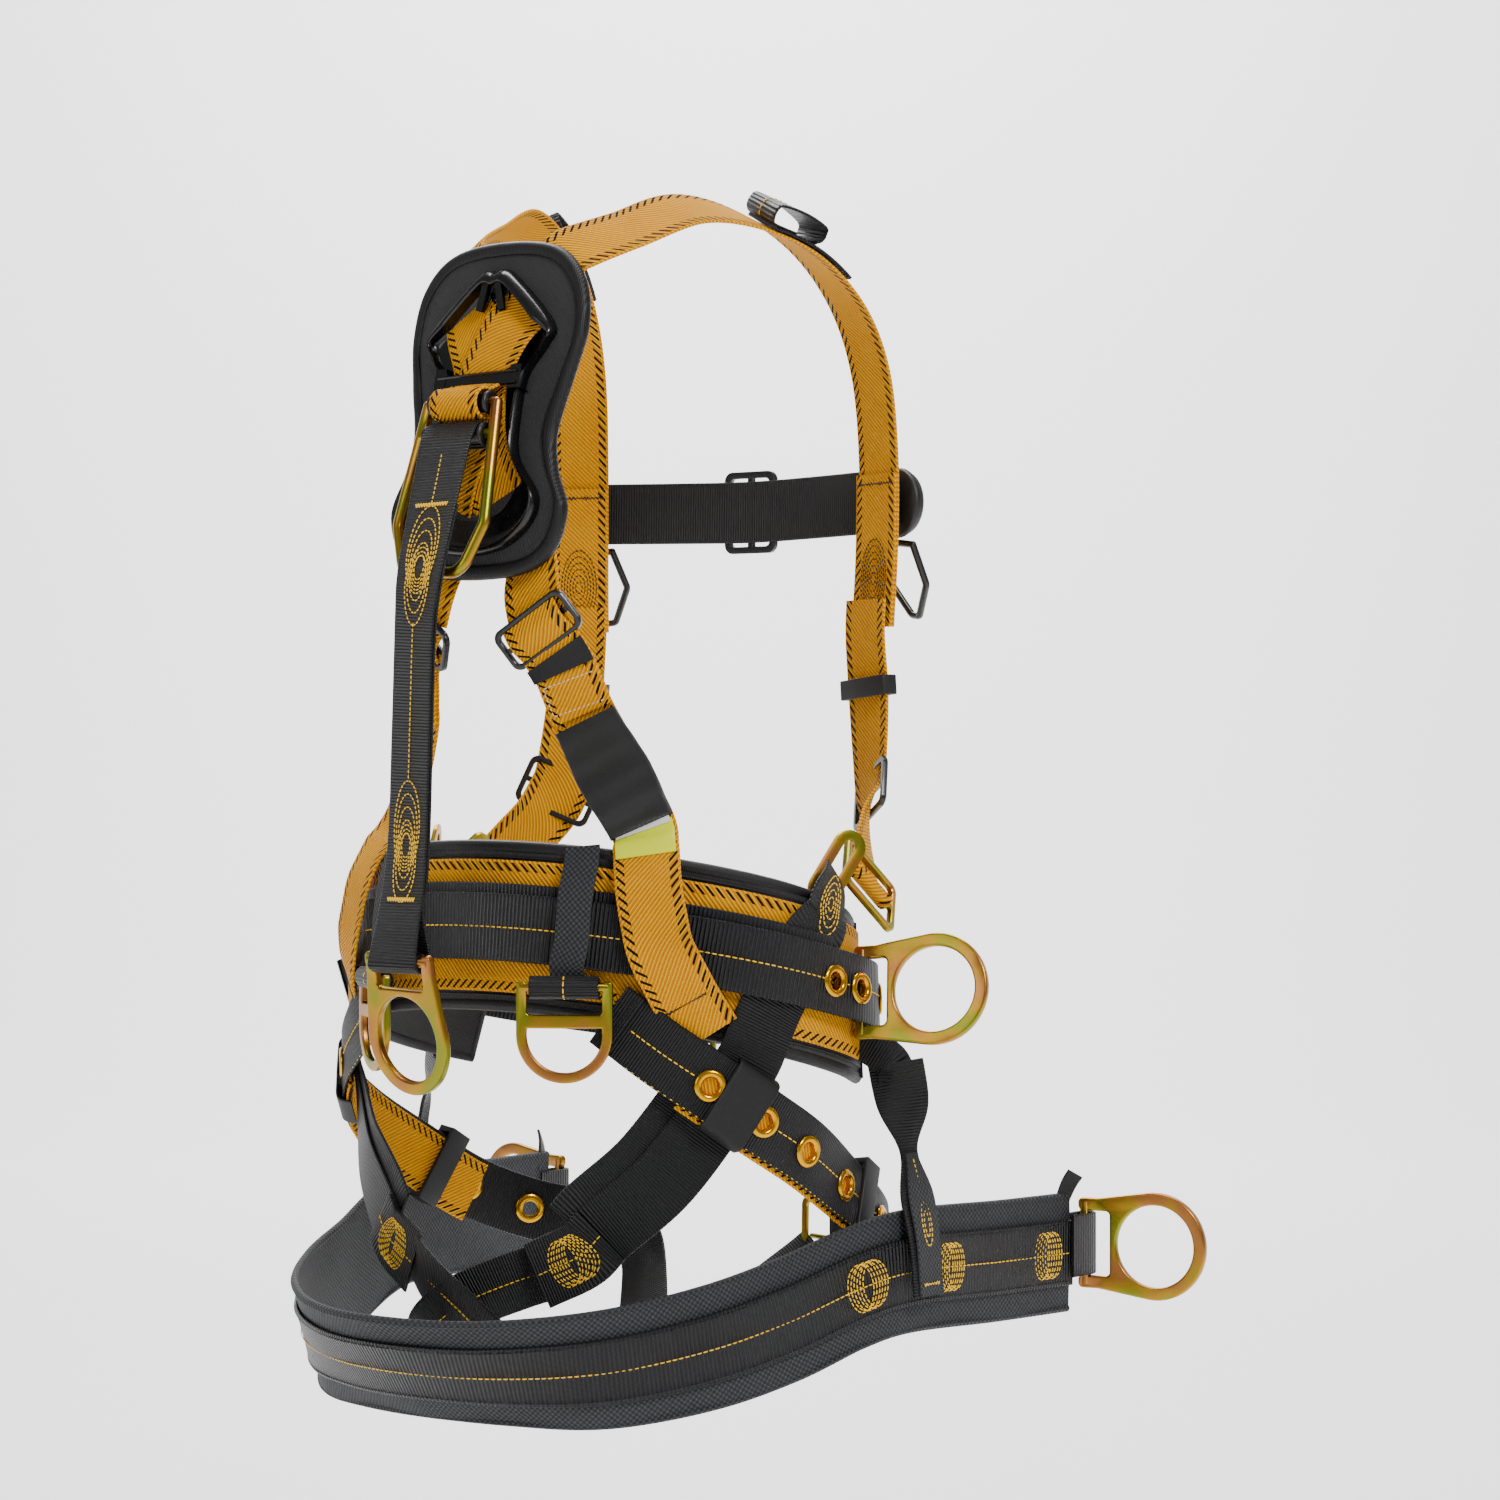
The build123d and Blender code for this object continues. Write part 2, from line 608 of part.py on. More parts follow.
def shoulder_loop():
    """Black keeper webbing folded over the shoulder strap's front."""
    first = nearest(SHOULDER_RIGHT, (-99, -42, 519))
    last = nearest(SHOULDER_RIGHT, (-122, -98, 484))
    low, high = min(first, last), max(first, last)
    body = band(raised(SHOULDER_RIGHT[low:high + 1], 3.2), WEB + 3, 2.4)
    plane = plane_at(SHOULDER_RIGHT, (-105, -56, 513), 13.5)
    tube = Box(40, WEB, 14) - Box(42, WEB - 6, 9)
    return body + plane.location * tube


def front_cover():
    """Round moulded cover where the chest strap meets the shoulder strap."""
    plane = Plane(origin=(-144, -152, 331), x_dir=(0.95, -0.31, 0), z_dir=(-0.31, -0.95, 0))
    body = Cylinder(25, 14)
    body = fillet(body.edges().group_by(Axis.Z)[-1], 5)
    return plane.location * body


def on_front(point, height=0.0):
    plane = plane_at(FRONT, point, height)
    return Plane(origin=plane.origin, x_dir=plane.y_dir, z_dir=plane.z_dir)


def front_keeper():
    shell = Box(50, 14, 12) - Box(WEB + 1, 16, 8)
    return on_front((-134, -125, 198)).location * shell


def hip_connector():
    """Oval plate on the hip strap's upper end."""
    plate = SlotOverall(58, 24) - SlotOverall(44, 9)
    return Plane(origin=(-181, -20, 76), x_dir=(-0.25, -0.5, 0.8), z_dir=(-0.85, 0.5, 0.1)).location * extrude(plate, 3.2)


def hip_frame():
    """Frame on the front strap's lower end that the oval plate passes through."""
    plane = on_front((-175, -62, 62), 4.4)
    return rod_frame(plane, 60, 46, 4.6)


def build():
    parts = {}
    parts["dorsal_pad"] = dorsal_pad()
    parts["dorsal_plate"] = dorsal_plate()
    parts["shoulder_strap_right"] = band(SHOULDER_RIGHT)
    parts["shoulder_strap_left"] = band(SHOULDER_LEFT)
    parts["dorsal_wrap"] = wrap(dorsal_bar(0), 46, 7.0, 2.4)
    parts["dorsal_ring"] = dorsal_ring()
    parts["dorsal_sleeves"] = Compound([sleeve_on(dorsal_bar(0), 50, 4.1, 6.4), sleeve_on(dorsal_bar(22), 52, 4.1, 6.2)])
    parts["extension_strap"] = extension_strap()
    parts["extension_sleeve"] = sleeve_on(extension_plane(), 44, BAR_RADIUS + 0.1, 5.8)
    parts["extension_ring"] = plate_ring(extension_plane())
    parts["side_ring_right"] = plate_ring(side_plane(SIDE_RING_ANGLE, 0))
    parts["side_ring_left"] = plate_ring(side_plane(180 - SIDE_RING_ANGLE, LEFT_RING_TURN))
    adjuster = plane_at(BACK, (-50, 136, 238), 1.2)
    adjuster = Plane(origin=adjuster.origin, x_dir=adjuster.y_dir, z_dir=adjuster.z_dir)
    keeper_from = nearest(BACK, (-60, 128, 219))
    label_from = nearest(BACK, (-74, 112, 172))
    label_to = nearest(BACK, (-108, 97, 105))
    parts["label_pack"] = band(raised(BACK[label_from:label_to + 1], 4.9), WEB + 5, 4.6)
    parts["size_tab"] = band(raised(BACK[label_to + 1:label_to + 3], 2.2), 42, 1.0)
    for side, maker in (("back_strap", back_strap), ("rear_ring", lambda: rear_ring(rear_plane())),
                        ("hip_strap", lambda: band(HIP)),
                        ("leg_strap", leg_strap), ("leg_grommets", leg_grommets), ("leg_keeper", leg_keeper),
                        ("saddle_ring", lambda: plate_ring(saddle_plane())),
                        ("link_strap", lambda: band(lay(LINK_STRAP, 12), 28)), ("front_ring", front_ring)):
        right, left = both(maker)
        parts[side + "_right"] = right
        parts[side + "_left"] = left
    parts["crotch_strap_right"] = crotch_strap(0)
    parts["crotch_strap_left"] = mirror(crotch_strap(9), about=Plane.YZ)
    pad = waist_line(-28, 208, PAD_OUT)
    parts["waist_pad"] = band(pad, PAD_TALL, PAD_THICK)
    parts["pad_facing"] = band(raised(pad[1:-1], FACING_RISE), FACING_TALL, FACING_THICK)
    parts["belt_webbing"] = punched(band(BELT_LINE, BELT, BELT_THICK), BELT_LINE, BELT_GROMMETS, 7.4)
    parts["belt_grommets"] = Compound([grommet(plane_at(BELT_LINE, place)) for place in BELT_GROMMETS])
    buckle = Plane(origin=around_waist(284, 25.4), x_dir=(0, -0.3, 1), z_dir=outward(*around_waist(284, 25.4)))
    parts["belt_buckle"] = rod_frame(buckle, 66, 52, 4.4, False)
    parts["belt_prong"] = prong(plane_at(BELT_LINE[:6], around_waist(284, 31.4), TONGUE_OUT - BELT_OUT), 56)
    parts["saddle_band"] = band(saddle_frames(), 84, 5.0)
    parts["saddle_webbing"] = saddle_webbing()
    pairs = {
        "back_adjusters": lambda: rod_frame(adjuster, 60, 31, 4.0),
        "strap_keepers": lambda: band(raised(BACK[keeper_from:keeper_from + 2], 1.9), WEB + 1, 1.2),
        "side_patches": lambda: band(waist_line(184, 204, 14.6), 40, 1.4),
        "rear_straps": lambda: band(lay([torso(117, 92, 20), torso(117, 80, 24), torso(116, 60, 27),
                                         torso(115, 30, 27), torso(114, 14, 27)], 14), 25, 1.6),
        "rear_rolls": lambda: wrap(rear_plane(), 46, 4.0, 4.4),
        "leg_buckles": leg_buckle,
        "leg_prongs": lambda: prong(plane_at(LEG, LEG_STRAP[-1]), 44),
        "leg_loops": leg_loop,
        "hip_connectors": hip_connector,
        "hip_frames": hip_frame,
        "front_straps": lambda: band(FRONT),
        "front_adjusters": lambda: rod_frame(on_front((-141, -116, 128), 1.2), 58, 38, 4.0),
        "front_keepers": front_keeper,
        "front_covers": front_cover,
        "shoulder_loops": shoulder_loop,
    }
    for name, maker in pairs.items():
        parts[name] = Compound(list(both(maker)))
    chest = lay(CHEST_STRAP + list(reversed(mirror_x(CHEST_STRAP)))[1:], 17)
    parts["chest_strap"] = band(chest)
    parts["chest_buckle"] = rod_frame(Plane(origin=(0, -166, 330), x_dir=(0, 0, 1), z_dir=(0, -1, 0)), 60, 46, 5)
    return parts


if __name__ == "__main__":
    os.makedirs("parts", exist_ok=True)
    for node, shape in build().items():
        export_step(shape, f"parts/{node}.step")
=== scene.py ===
import json
import math

import bmesh
import bpy
import numpy as np
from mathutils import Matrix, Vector


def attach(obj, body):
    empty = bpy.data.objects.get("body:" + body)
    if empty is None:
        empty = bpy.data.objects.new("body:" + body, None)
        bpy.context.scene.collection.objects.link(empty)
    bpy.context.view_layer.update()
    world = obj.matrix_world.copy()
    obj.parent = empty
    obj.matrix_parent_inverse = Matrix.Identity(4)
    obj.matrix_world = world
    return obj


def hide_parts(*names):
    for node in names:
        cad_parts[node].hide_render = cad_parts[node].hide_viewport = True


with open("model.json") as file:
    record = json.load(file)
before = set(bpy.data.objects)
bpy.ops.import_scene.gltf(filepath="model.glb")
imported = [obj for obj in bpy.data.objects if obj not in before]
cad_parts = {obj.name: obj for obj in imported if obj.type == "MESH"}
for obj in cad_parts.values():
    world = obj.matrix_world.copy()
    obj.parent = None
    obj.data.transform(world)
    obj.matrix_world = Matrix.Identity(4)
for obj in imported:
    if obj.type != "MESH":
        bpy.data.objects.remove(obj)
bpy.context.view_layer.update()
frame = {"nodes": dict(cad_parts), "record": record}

# A tower climber's full-body harness as it hangs on a standing wearer. Places are in
# millimetres in the CAD frame (+Z up, the wearer faces -Y, the wearer's right is -X)
# and turn to metres where a mesh is made. Webbing is modelled as flat stock laid along
# smooth lines, with raised stitches on top.

MM = 0.001
WEB = 45.0
WEB_THICK = 2.2
ROW = 2.0                  # spacing of a strap's cross-sections
FINE_ROW = 1.5             # the same on short tight folds
ON_WEB = WEB_THICK / 2 + 0.2   # height of a thread above a strap's middle
HOLE = 8.0                 # radius of the opening under an eyelet
HEM_IN = 19                # cross seams stop this far from a strap's middle

BODY_OF = {n: b for b, nodes in frame["record"]["behaviour"]["bodies"].items() for n in nodes}

# ---- the body form that the straps lie on, as in the CAD ----
# height, half width, half depth, middle in Y
BODY = np.array([
    (-317, 180, 135, 5), (-88, 185, 138, 5), (13, 180, 128, 2), (128, 157, 107, 10),
    (261, 175, 130, 6), (366, 190, 122, 4), (436, 235, 116, -6), (483, 190, 104, -8),
    (523, 130, 75, -10), (553, 80, 60, -12),
], float)
BELT_SLOPE = 0.3
BELT_DEPTH = 128.0
WAIST_LEAN = 0.06
PAD_OUT = 6.5
BELT_OUT = 20.4
TONGUE_OUT = 31.4
SIDE_RING_ANGLE = 193
SIDE_RING_RISE = 6.7
DORSAL_THICK = 9.0
PAD_LINE = np.array([(137, 262), (134, 330), (123, 390), (111, 445), (103, 508)], float)
DORSAL_HALF = [
    (45, 494), (69, 472), (76, 440), (70, 405), (62, 368), (66, 342), (76, 315), (67, 288), (44, 274),
]
PLATE_HALF = [
    (13, 477), (52, 441), (50, 426), (36, 405), (34, 372), (38, 350), (57, 325), (52, 306), (30, 291),
]
UNDER_STRAP = 4.9
OVER_STRAP = 7.7
DORSAL_BAR = np.array((0, 155, 387), float)
DORSAL_DOWN = np.array((0, 0.262, -0.965))
BACK_ENDS = {"right": (-150, 90, -66), "left": (150, 90, -66)}
KEEPER_AT = {"right": (-193, -14, -137), "left": (193, -14, -137)}
BELT_EYELETS = (177, 186, 201, 213, 225, 237)


def unit(rows):
    return rows / np.maximum(np.linalg.norm(rows, axis=-1, keepdims=True), 1e-9)


def body_at(z):
    """Half width, half depth and middle in Y of the body at each height."""
    z = np.clip(z, BODY[0, 0], BODY[-1, 0])
    k = np.clip(np.searchsorted(BODY[:, 0], z) - 1, 0, len(BODY) - 2)
    u = (z - BODY[k, 0]) / (BODY[k + 1, 0] - BODY[k, 0])
    u = (u * u * (3 - 2 * u))[..., None]
    return BODY[k, 1:] + (BODY[k + 1, 1:] - BODY[k, 1:]) * u


def torso(angle, z, out):
    """A point off the body: 90 degrees is the back, 180 the wearer's right."""
    half_x, half_y, middle = body_at(np.float64(z))
    ux, uy = math.cos(math.radians(angle)), math.sin(math.radians(angle))
    length = math.hypot(ux / half_x, uy / half_y)
    return (half_x * ux + out * ux / half_x / length, middle + half_y * uy + out * uy / half_y / length, z)


def outward(places):
    """The way a strap's outer face looks at places on the body."""
    form = body_at(np.minimum(places[..., 2], 436))
    over = np.maximum(0.0, places[..., 2] - 430) / 13000
    across, back = places[..., 0] / form[..., 0] ** 2, (places[..., 1] - form[..., 2]) / form[..., 1] ** 2
    return unit(np.stack([across, back, over], -1))


def around_waist(angle, out, drop=0.0):
    return torso(angle, BELT_SLOPE * BELT_DEPTH * math.sin(math.radians(angle)) + drop, out)


def mirror_x(route):
    """The same route on the wearer's other side."""
    return [tuple(-v if i % 3 == 0 else v for i, v in enumerate(point)) for point in route]


def curve(rows):
    """A smooth curve through rows, from the second to the last but one, which it stops short of."""
    t = (np.arange(16) / 16)[:, None]
    return np.vstack([
        0.5 * (2 * b + (c - a) * t + (2 * a - 5 * b + 4 * c - d) * t**2 + (3 * b - a - 3 * c + d) * t**3)
        for a, b, c, d in zip(rows, rows[1:], rows[2:], rows[3:])
    ])


def smooth(route, step):
    """Evenly spaced rows along a smooth curve through every point."""
    rows = np.array(route, float)
    fine = np.vstack([curve(np.vstack([2 * rows[0] - rows[1], rows, 2 * rows[-1] - rows[-2]])), rows[-1:]])
    reach = measure(fine)
    goals = np.linspace(0, reach[-1], max(2, round(reach[-1] / step)) + 1)
    return np.column_stack([np.interp(goals, reach, fine[:, k]) for k in range(fine.shape[1])])


def measure(rows):
    """Distance from the start to every row."""
    return np.concatenate([[0], np.cumsum(np.linalg.norm(np.diff(rows[:, :3], axis=0), axis=1))])


class Line:
    """The line a strap follows, with its width direction and outer face at every place."""

    def __init__(self, route, step=ROW):
        rows = smooth(route, step)
        self.place = rows[:, :3]
        self.along = unit(np.gradient(self.place, axis=0))
        face = rows[:, 3:] if rows.shape[1] == 6 else outward(self.place)
        self.face = unit(face - self.along * np.sum(face * self.along, axis=1, keepdims=True))
        self.side = np.cross(self.face, self.along)
        self.reach = measure(rows)
        self.length = self.reach[-1]

    def look(self, rows, u):
        return np.stack([np.interp(u, self.reach, rows[:, k]) for k in range(3)], -1)

    def at(self, u, v=0.0, h=0.0):
        """Points at distances along, across and above the strap's middle."""
        u, v, h = (x[..., None] for x in np.broadcast_arrays(*(np.asarray(x, float) for x in (u, v, h))))
        flat = u[..., 0]
        over = u - np.clip(u, 0, self.length)
        return (self.look(self.place, flat) + self.look(self.along, flat) * over
                + self.look(self.side, flat) * v + self.look(self.face, flat) * h)

    def near(self, point):
        """Distance along to the place closest to a point."""
        gap = np.linalg.norm(self.place - np.array(point[:3], float), axis=1)
        return float(self.reach[int(np.argmin(gap))])

    def frame(self, u, v=0.0, h=0.0):
        """Place, along, side and face at a distance along."""
        ways = [self.look(rows, np.float64(u)) for rows in (self.along, self.side, self.face)]
        return self.at(u, v, h), *ways


# ---- materials ----


def linear(hex_code):
    """An sRGB hex colour as linear RGBA."""
    parts = [int(hex_code[i:i + 2], 16) / 255 for i in (1, 3, 5)]
    return tuple(c / 12.92 if c <= 0.04045 else ((c + 0.055) / 1.055) ** 2.4 for c in parts) + (1.0,)


def add(tree, kind, links=None, **settings):
    """A shader node with settings; links go by input to another node's output or a number."""
    node = tree.nodes.new("ShaderNode" + kind)
    for name, value in settings.items():
        setattr(node, name, value)
    for key, value in (links or {}).items():
        if isinstance(value, bpy.types.NodeSocket):
            tree.links.new(value, node.inputs[key])
        else:
            node.inputs[key].default_value = value
    return node


def calc(tree, operation, *values):
    return add(tree, "Math", dict(enumerate(values)), operation=operation).outputs[0]


def blend_colour(tree, share, low, high):
    """A colour between two, by a share from 0 to 1."""
    return add(tree, "Mix", {0: share, 6: low, 7: high}, data_type="RGBA").outputs[2]


def noise(tree, scale, detail=2.0, where=None):
    """Noise from about 0.3 to 0.7, its scale in features a millimetre."""
    where = where or add(tree, "TexCoord").outputs["Object"]
    return add(tree, "TexNoise", {"Vector": where, "Scale": scale / MM, "Detail": detail}).outputs["Fac"]


def material(name, colour, roughness, metallic=0.0, coat=0.0, sheen=0.0):
    """A material with its shader; colour is a hex code that a pattern may replace."""
    made = bpy.data.materials.new(name)
    made.use_nodes = True
    shader = made.node_tree.nodes["Principled BSDF"]
    for key, value in (("Base Color", linear(colour)), ("Roughness", roughness), ("Metallic", metallic),
                       ("Coat Weight", coat), ("Sheen Weight", sheen)):
        shader.inputs[key].default_value = value
    return made, made.node_tree, shader


def bump(tree, shader, height, depth_mm):
    """Relief of a depth in millimetres."""
    node = add(tree, "Bump", {"Height": height, "Distance": depth_mm * MM, "Strength": 1.0})
    tree.links.new(node.outputs[0], shader.inputs["Normal"])


def woven(tree):
    """Distances along and across a strap, in millimetres."""
    uv = add(tree, "UVMap", uv_map="woven")
    return add(tree, "SeparateXYZ", {0: uv.outputs[0]}).outputs[:2]


def wave(tree, value, period):
    """A ripple from 0 to 1 with a period in millimetres."""
    turn = calc(tree, "MULTIPLY", value, 2 * math.pi / period)
    return calc(tree, "MULTIPLY_ADD", calc(tree, "SINE", turn), 0.5, 0.5)


def slanted_webbing():
    # polyester webbing woven in slanted ribs, with black marker threads along both edges; the rib crests are
    # painted lighter orange as highlight and the troughs darker orange as shade
    made, tree, shader = material("orange_polyester_webbing", "#F09000", 0.6)
    shader.inputs["Specular IOR Level"].default_value = 0.08
    along, across = woven(tree)
    edge = add(tree, "Attribute", attribute_name="edge").outputs["Fac"]
    slant = calc(tree, "MULTIPLY_ADD", across, 0.95, along)
    rib = wave(tree, slant, 3.4)
    fine = wave(tree, calc(tree, "MULTIPLY_ADD", along, -0.3, across), 0.85)
    # painted highlight and shade: the orange is lighter on the rib crests and darker in the troughs, with
    # random tone from noise
    tone = calc(tree, "MULTIPLY_ADD", noise(tree, 0.05, 3.0), 0.3, calc(tree, "MULTIPLY", rib, 0.85))
    colour = blend_colour(tree, tone, linear("#CC6E00"), linear("#FFBA00"))
    run = calc(tree, "MULTIPLY_ADD", edge, -1.05, along)
    part = calc(tree, "FRACT", calc(tree, "DIVIDE", run, 6.4))
    dash = calc(tree, "LESS_THAN", part, 0.36)
    inside = calc(tree, "MULTIPLY", calc(tree, "GREATER_THAN", edge, 1.6), calc(tree, "LESS_THAN", edge, 7.4))
    mark = calc(tree, "MULTIPLY", dash, inside)
    tree.links.new(blend_colour(tree, mark, colour, linear("#16120E")), shader.inputs["Base Color"])
    height = calc(tree, "MULTIPLY_ADD", fine, 0.22, rib)
    bump(tree, shader, calc(tree, "MULTIPLY_ADD", mark, 0.25, height), 1.3)
    return made


def ribbed_webbing(name, period, low, high, rough, depth):
    # polyester webbing with ribs straight across; the rib crests are painted lighter as highlight and the
    # valleys darker as shade
    made, tree, shader = material(name, high, rough)
    shader.inputs["Specular IOR Level"].default_value = 0.35
    along, across = woven(tree)
    rib = wave(tree, along, period)
    fine = wave(tree, across, 0.9)
    # painted highlight on the rib crests and painted shade in the valleys, with random tone from noise on top
    painted_crest_highlight = calc(tree, "POWER", rib, 1.5)
    shade = calc(tree, "MULTIPLY", painted_crest_highlight, calc(tree, "MULTIPLY_ADD", fine, 0.35, 0.65))
    worn = calc(tree, "MULTIPLY_ADD", noise(tree, 0.03, 4.0), 0.9, -0.2)
    tone = calc(tree, "MULTIPLY_ADD", worn, 0.35, calc(tree, "MULTIPLY", shade, 0.8))
    tree.links.new(blend_colour(tree, tone, linear(low), linear(high)), shader.inputs["Base Color"])
    bump(tree, shader, calc(tree, "MULTIPLY_ADD", fine, 0.18, rib), depth)
    return made


def basket_webbing(name, cell, low, high):
    # coarse basket weave; the raised knots are painted lighter as highlight and the hollows between them
    # darker as shade
    made, tree, shader = material(name, high, 0.7)
    along, across = woven(tree)
    one = calc(tree, "SINE", calc(tree, "MULTIPLY", along, math.pi / cell))
    two = calc(tree, "SINE", calc(tree, "MULTIPLY", across, math.pi / cell))
    knot = calc(tree, "MULTIPLY_ADD", calc(tree, "MULTIPLY", one, two), 0.5, 0.5)
    fine = wave(tree, across, 0.55)
    height = calc(tree, "MULTIPLY_ADD", fine, 0.15, knot)
    # painted highlight on the knots and painted shade in the hollows between them
    tree.links.new(blend_colour(tree, calc(tree, "POWER", knot, 1.6), linear(low), linear(high)),
                   shader.inputs["Base Color"])
    bump(tree, shader, height, 1.1)
    return made


def twill_cloth(name, period, low, high, rough):
    # fine twill over foam; the twill ridges are painted lighter as highlight, with random mottled tone
    made, tree, shader = material(name, high, rough, sheen=0.08)
    along, across = woven(tree)
    ridge = wave(tree, calc(tree, "MULTIPLY_ADD", across, 0.3, along), period)
    mottled = noise(tree, 0.12, 4.0)
    # painted highlight on the twill ridges, mixed with random mottled tone
    tone = calc(tree, "MULTIPLY_ADD", mottled, 0.5, calc(tree, "MULTIPLY", ridge, 0.5))
    tree.links.new(blend_colour(tree, tone, linear(low), linear(high)), shader.inputs["Base Color"])
    bump(tree, shader, calc(tree, "MULTIPLY_ADD", mottled, 0.8, ridge), 0.5)
    return made


def yellow_zinc():
    # stamped steel, zinc plated and yellow passivated: iridescent patches, fine grain
    made, tree, shader = material("yellow_zinc_steel", "#A98228", 0.3, metallic=1.0)
    patch = noise(tree, 0.03, 1.5)
    ramp = add(tree, "ValToRGB", {0: patch})
    stops = ramp.color_ramp.elements
    stops[0].position, stops[0].color = 0.38, linear("#858428")
    stops[1].position, stops[1].color = 0.62, linear("#A8703A")
    middle = ramp.color_ramp.elements.new(0.5)
    middle.color = linear("#A98228")
    tree.links.new(ramp.outputs[0], shader.inputs["Base Color"])
    grain = noise(tree, 1.6, 3.0)
    tree.links.new(calc(tree, "MULTIPLY_ADD", grain, 0.22, 0.2), shader.inputs["Roughness"])
    bump(tree, shader, grain, 0.03)
    return made


def plain(name, colour, rough, grain=1.0, depth=0.04, metallic=0.0, coat=0.0):
    # one colour with a fine surface grain and slight gloss changes
    made, tree, shader = material(name, colour, rough, metallic, coat)
    spots = noise(tree, grain, 3.0)
    tree.links.new(calc(tree, "MULTIPLY_ADD", spots, 0.2, rough - 0.1), shader.inputs["Roughness"])
    bump(tree, shader, spots, depth)
    return made


ORANGE = slanted_webbing()
BLACK = ribbed_webbing("black_polyester_webbing", 2.1, "#010101", "#1B1B1E", 0.45, 0.9)
BELT_BLACK = ribbed_webbing("black_belt_webbing", 2.9, "#010102", "#242428", 0.36, 1.2)
TAPE = ribbed_webbing("black_binding_tape", 1.2, "#050405", "#151314", 0.5, 0.15)
SMOOTH_BLACK = ribbed_webbing("black_plain_woven_band", 0.9, "#040404", "#151415", 0.55, 0.12)
BASKET = basket_webbing("black_basket_webbing", 2.0, "#010101", "#404247")
PAD_CLOTH = twill_cloth("black_pad_twill", 1.3, "#030202", "#181516", 0.7)
LABEL = twill_cloth("black_label_satin", 0.8, "#040404", "#121112", 0.45)
ZINC = yellow_zinc()
BRASS = plain("rolled_brass", "#D49A10", 0.22, 1.2, 0.02, metallic=1.0)
BLACK_STEEL = plain("black_coated_steel", "#0C0C0D", 0.3, 0.8, 0.03, coat=0.2)
GLOSS = plain("glossy_moulded_nylon", "#050506", 0.24, 0.25, 0.05)
MATTE = plain("matte_moulded_nylon", "#0A0A0B", 0.5, 1.5, 0.05)
RUBBER = plain("black_rubber_sleeve", "#0D0D0E", 0.4, 0.8, 0.04)
YELLOW_THREAD = plain("yellow_polyester_thread", "#FFC800", 0.5, 2.0, 0.05)
BLACK_THREAD = plain("black_polyester_thread", "#0B0A0A", 0.5, 2.0, 0.05)
PALE_THREAD = plain("pale_polyester_thread", "#E9CFA8", 0.5, 2.0, 0.05)
LIME = plain("lime_vinyl_tab", "#D8E000", 0.38, 0.4, 0.03)
PAPER = plain("white_label_card", "#DADADA", 0.6, 0.6, 0.03)


# ---- meshes ----


def make_mesh(name, verts, faces, paint, uv=None, edge=None, sharp=50):
    """An object in metres from points in millimetres."""
    mesh = bpy.data.meshes.new(name)
    mesh.from_pydata((np.asarray(verts, float) * MM).tolist(), [], faces)
    work = bmesh.new()
    work.from_mesh(mesh)
    bmesh.ops.recalc_face_normals(work, faces=work.faces)
    work.to_mesh(mesh)
    work.free()
    if uv is not None:
        layer = mesh.uv_layers.new(name="woven")
        index = np.zeros(len(mesh.loops), int)
        mesh.loops.foreach_get("vertex_index", index)
        layer.data.foreach_set("uv", np.asarray(uv, np.float32)[index].ravel())
    if edge is not None:
        mesh.attributes.new("edge", "FLOAT", "POINT").data.foreach_set("value", np.asarray(edge, np.float32))
    mesh.polygons.foreach_set("use_smooth", [True] * len(mesh.polygons))
    mesh.set_sharp_from_angle(angle=math.radians(sharp))
    mesh.materials.append(paint)
    made = bpy.data.objects.new(name, mesh)
    bpy.context.scene.collection.objects.link(made)
    return made


def grid_faces(rows, columns, start=0, loop_rows=False, keep=None):
    """Quads over a grid of points joined round its columns, with its ends closed or its rows joined."""
    i = np.arange(rows if loop_rows else rows - 1)[:, None]
    j = np.arange(columns)[None, :]
    below, right = (i + 1) % rows, (j + 1) % columns
    quads = np.stack(np.broadcast_arrays(i * columns + j, i * columns + right,
                                         below * columns + right, below * columns + j), -1) + start
    quads = quads.reshape(-1, 4) if keep is None else quads[keep]
    faces = quads.tolist()
    if not loop_rows:
        faces.append([start + k for k in range(columns)][::-1])
        faces.append([start + (rows - 1) * columns + k for k in range(columns)])
    return faces


def flat_section(width, thick, across=14, dome=0.0):
    """Outline of flat stock with round edges, as (across, above)."""
    half, r = width / 2, thick / 2
    v = np.linspace(-half + r, half - r, across + 1)
    top = np.column_stack([v, r + dome * (1 - (v / half) ** 2)])
    bottom = np.column_stack([v[::-1], np.full(len(v), -r)])
    right = [(half - r + r * math.cos(a), r * math.sin(a)) for a in (0.8, 0.0, -0.8)]
    left = [(-half + r - r * math.cos(a), r * math.sin(a)) for a in (-0.8, 0.0, 0.8)]
    return np.vstack([top, right, bottom, left])


def value_at(given, u):
    return given(u) if callable(given) else np.full(len(u), float(given))


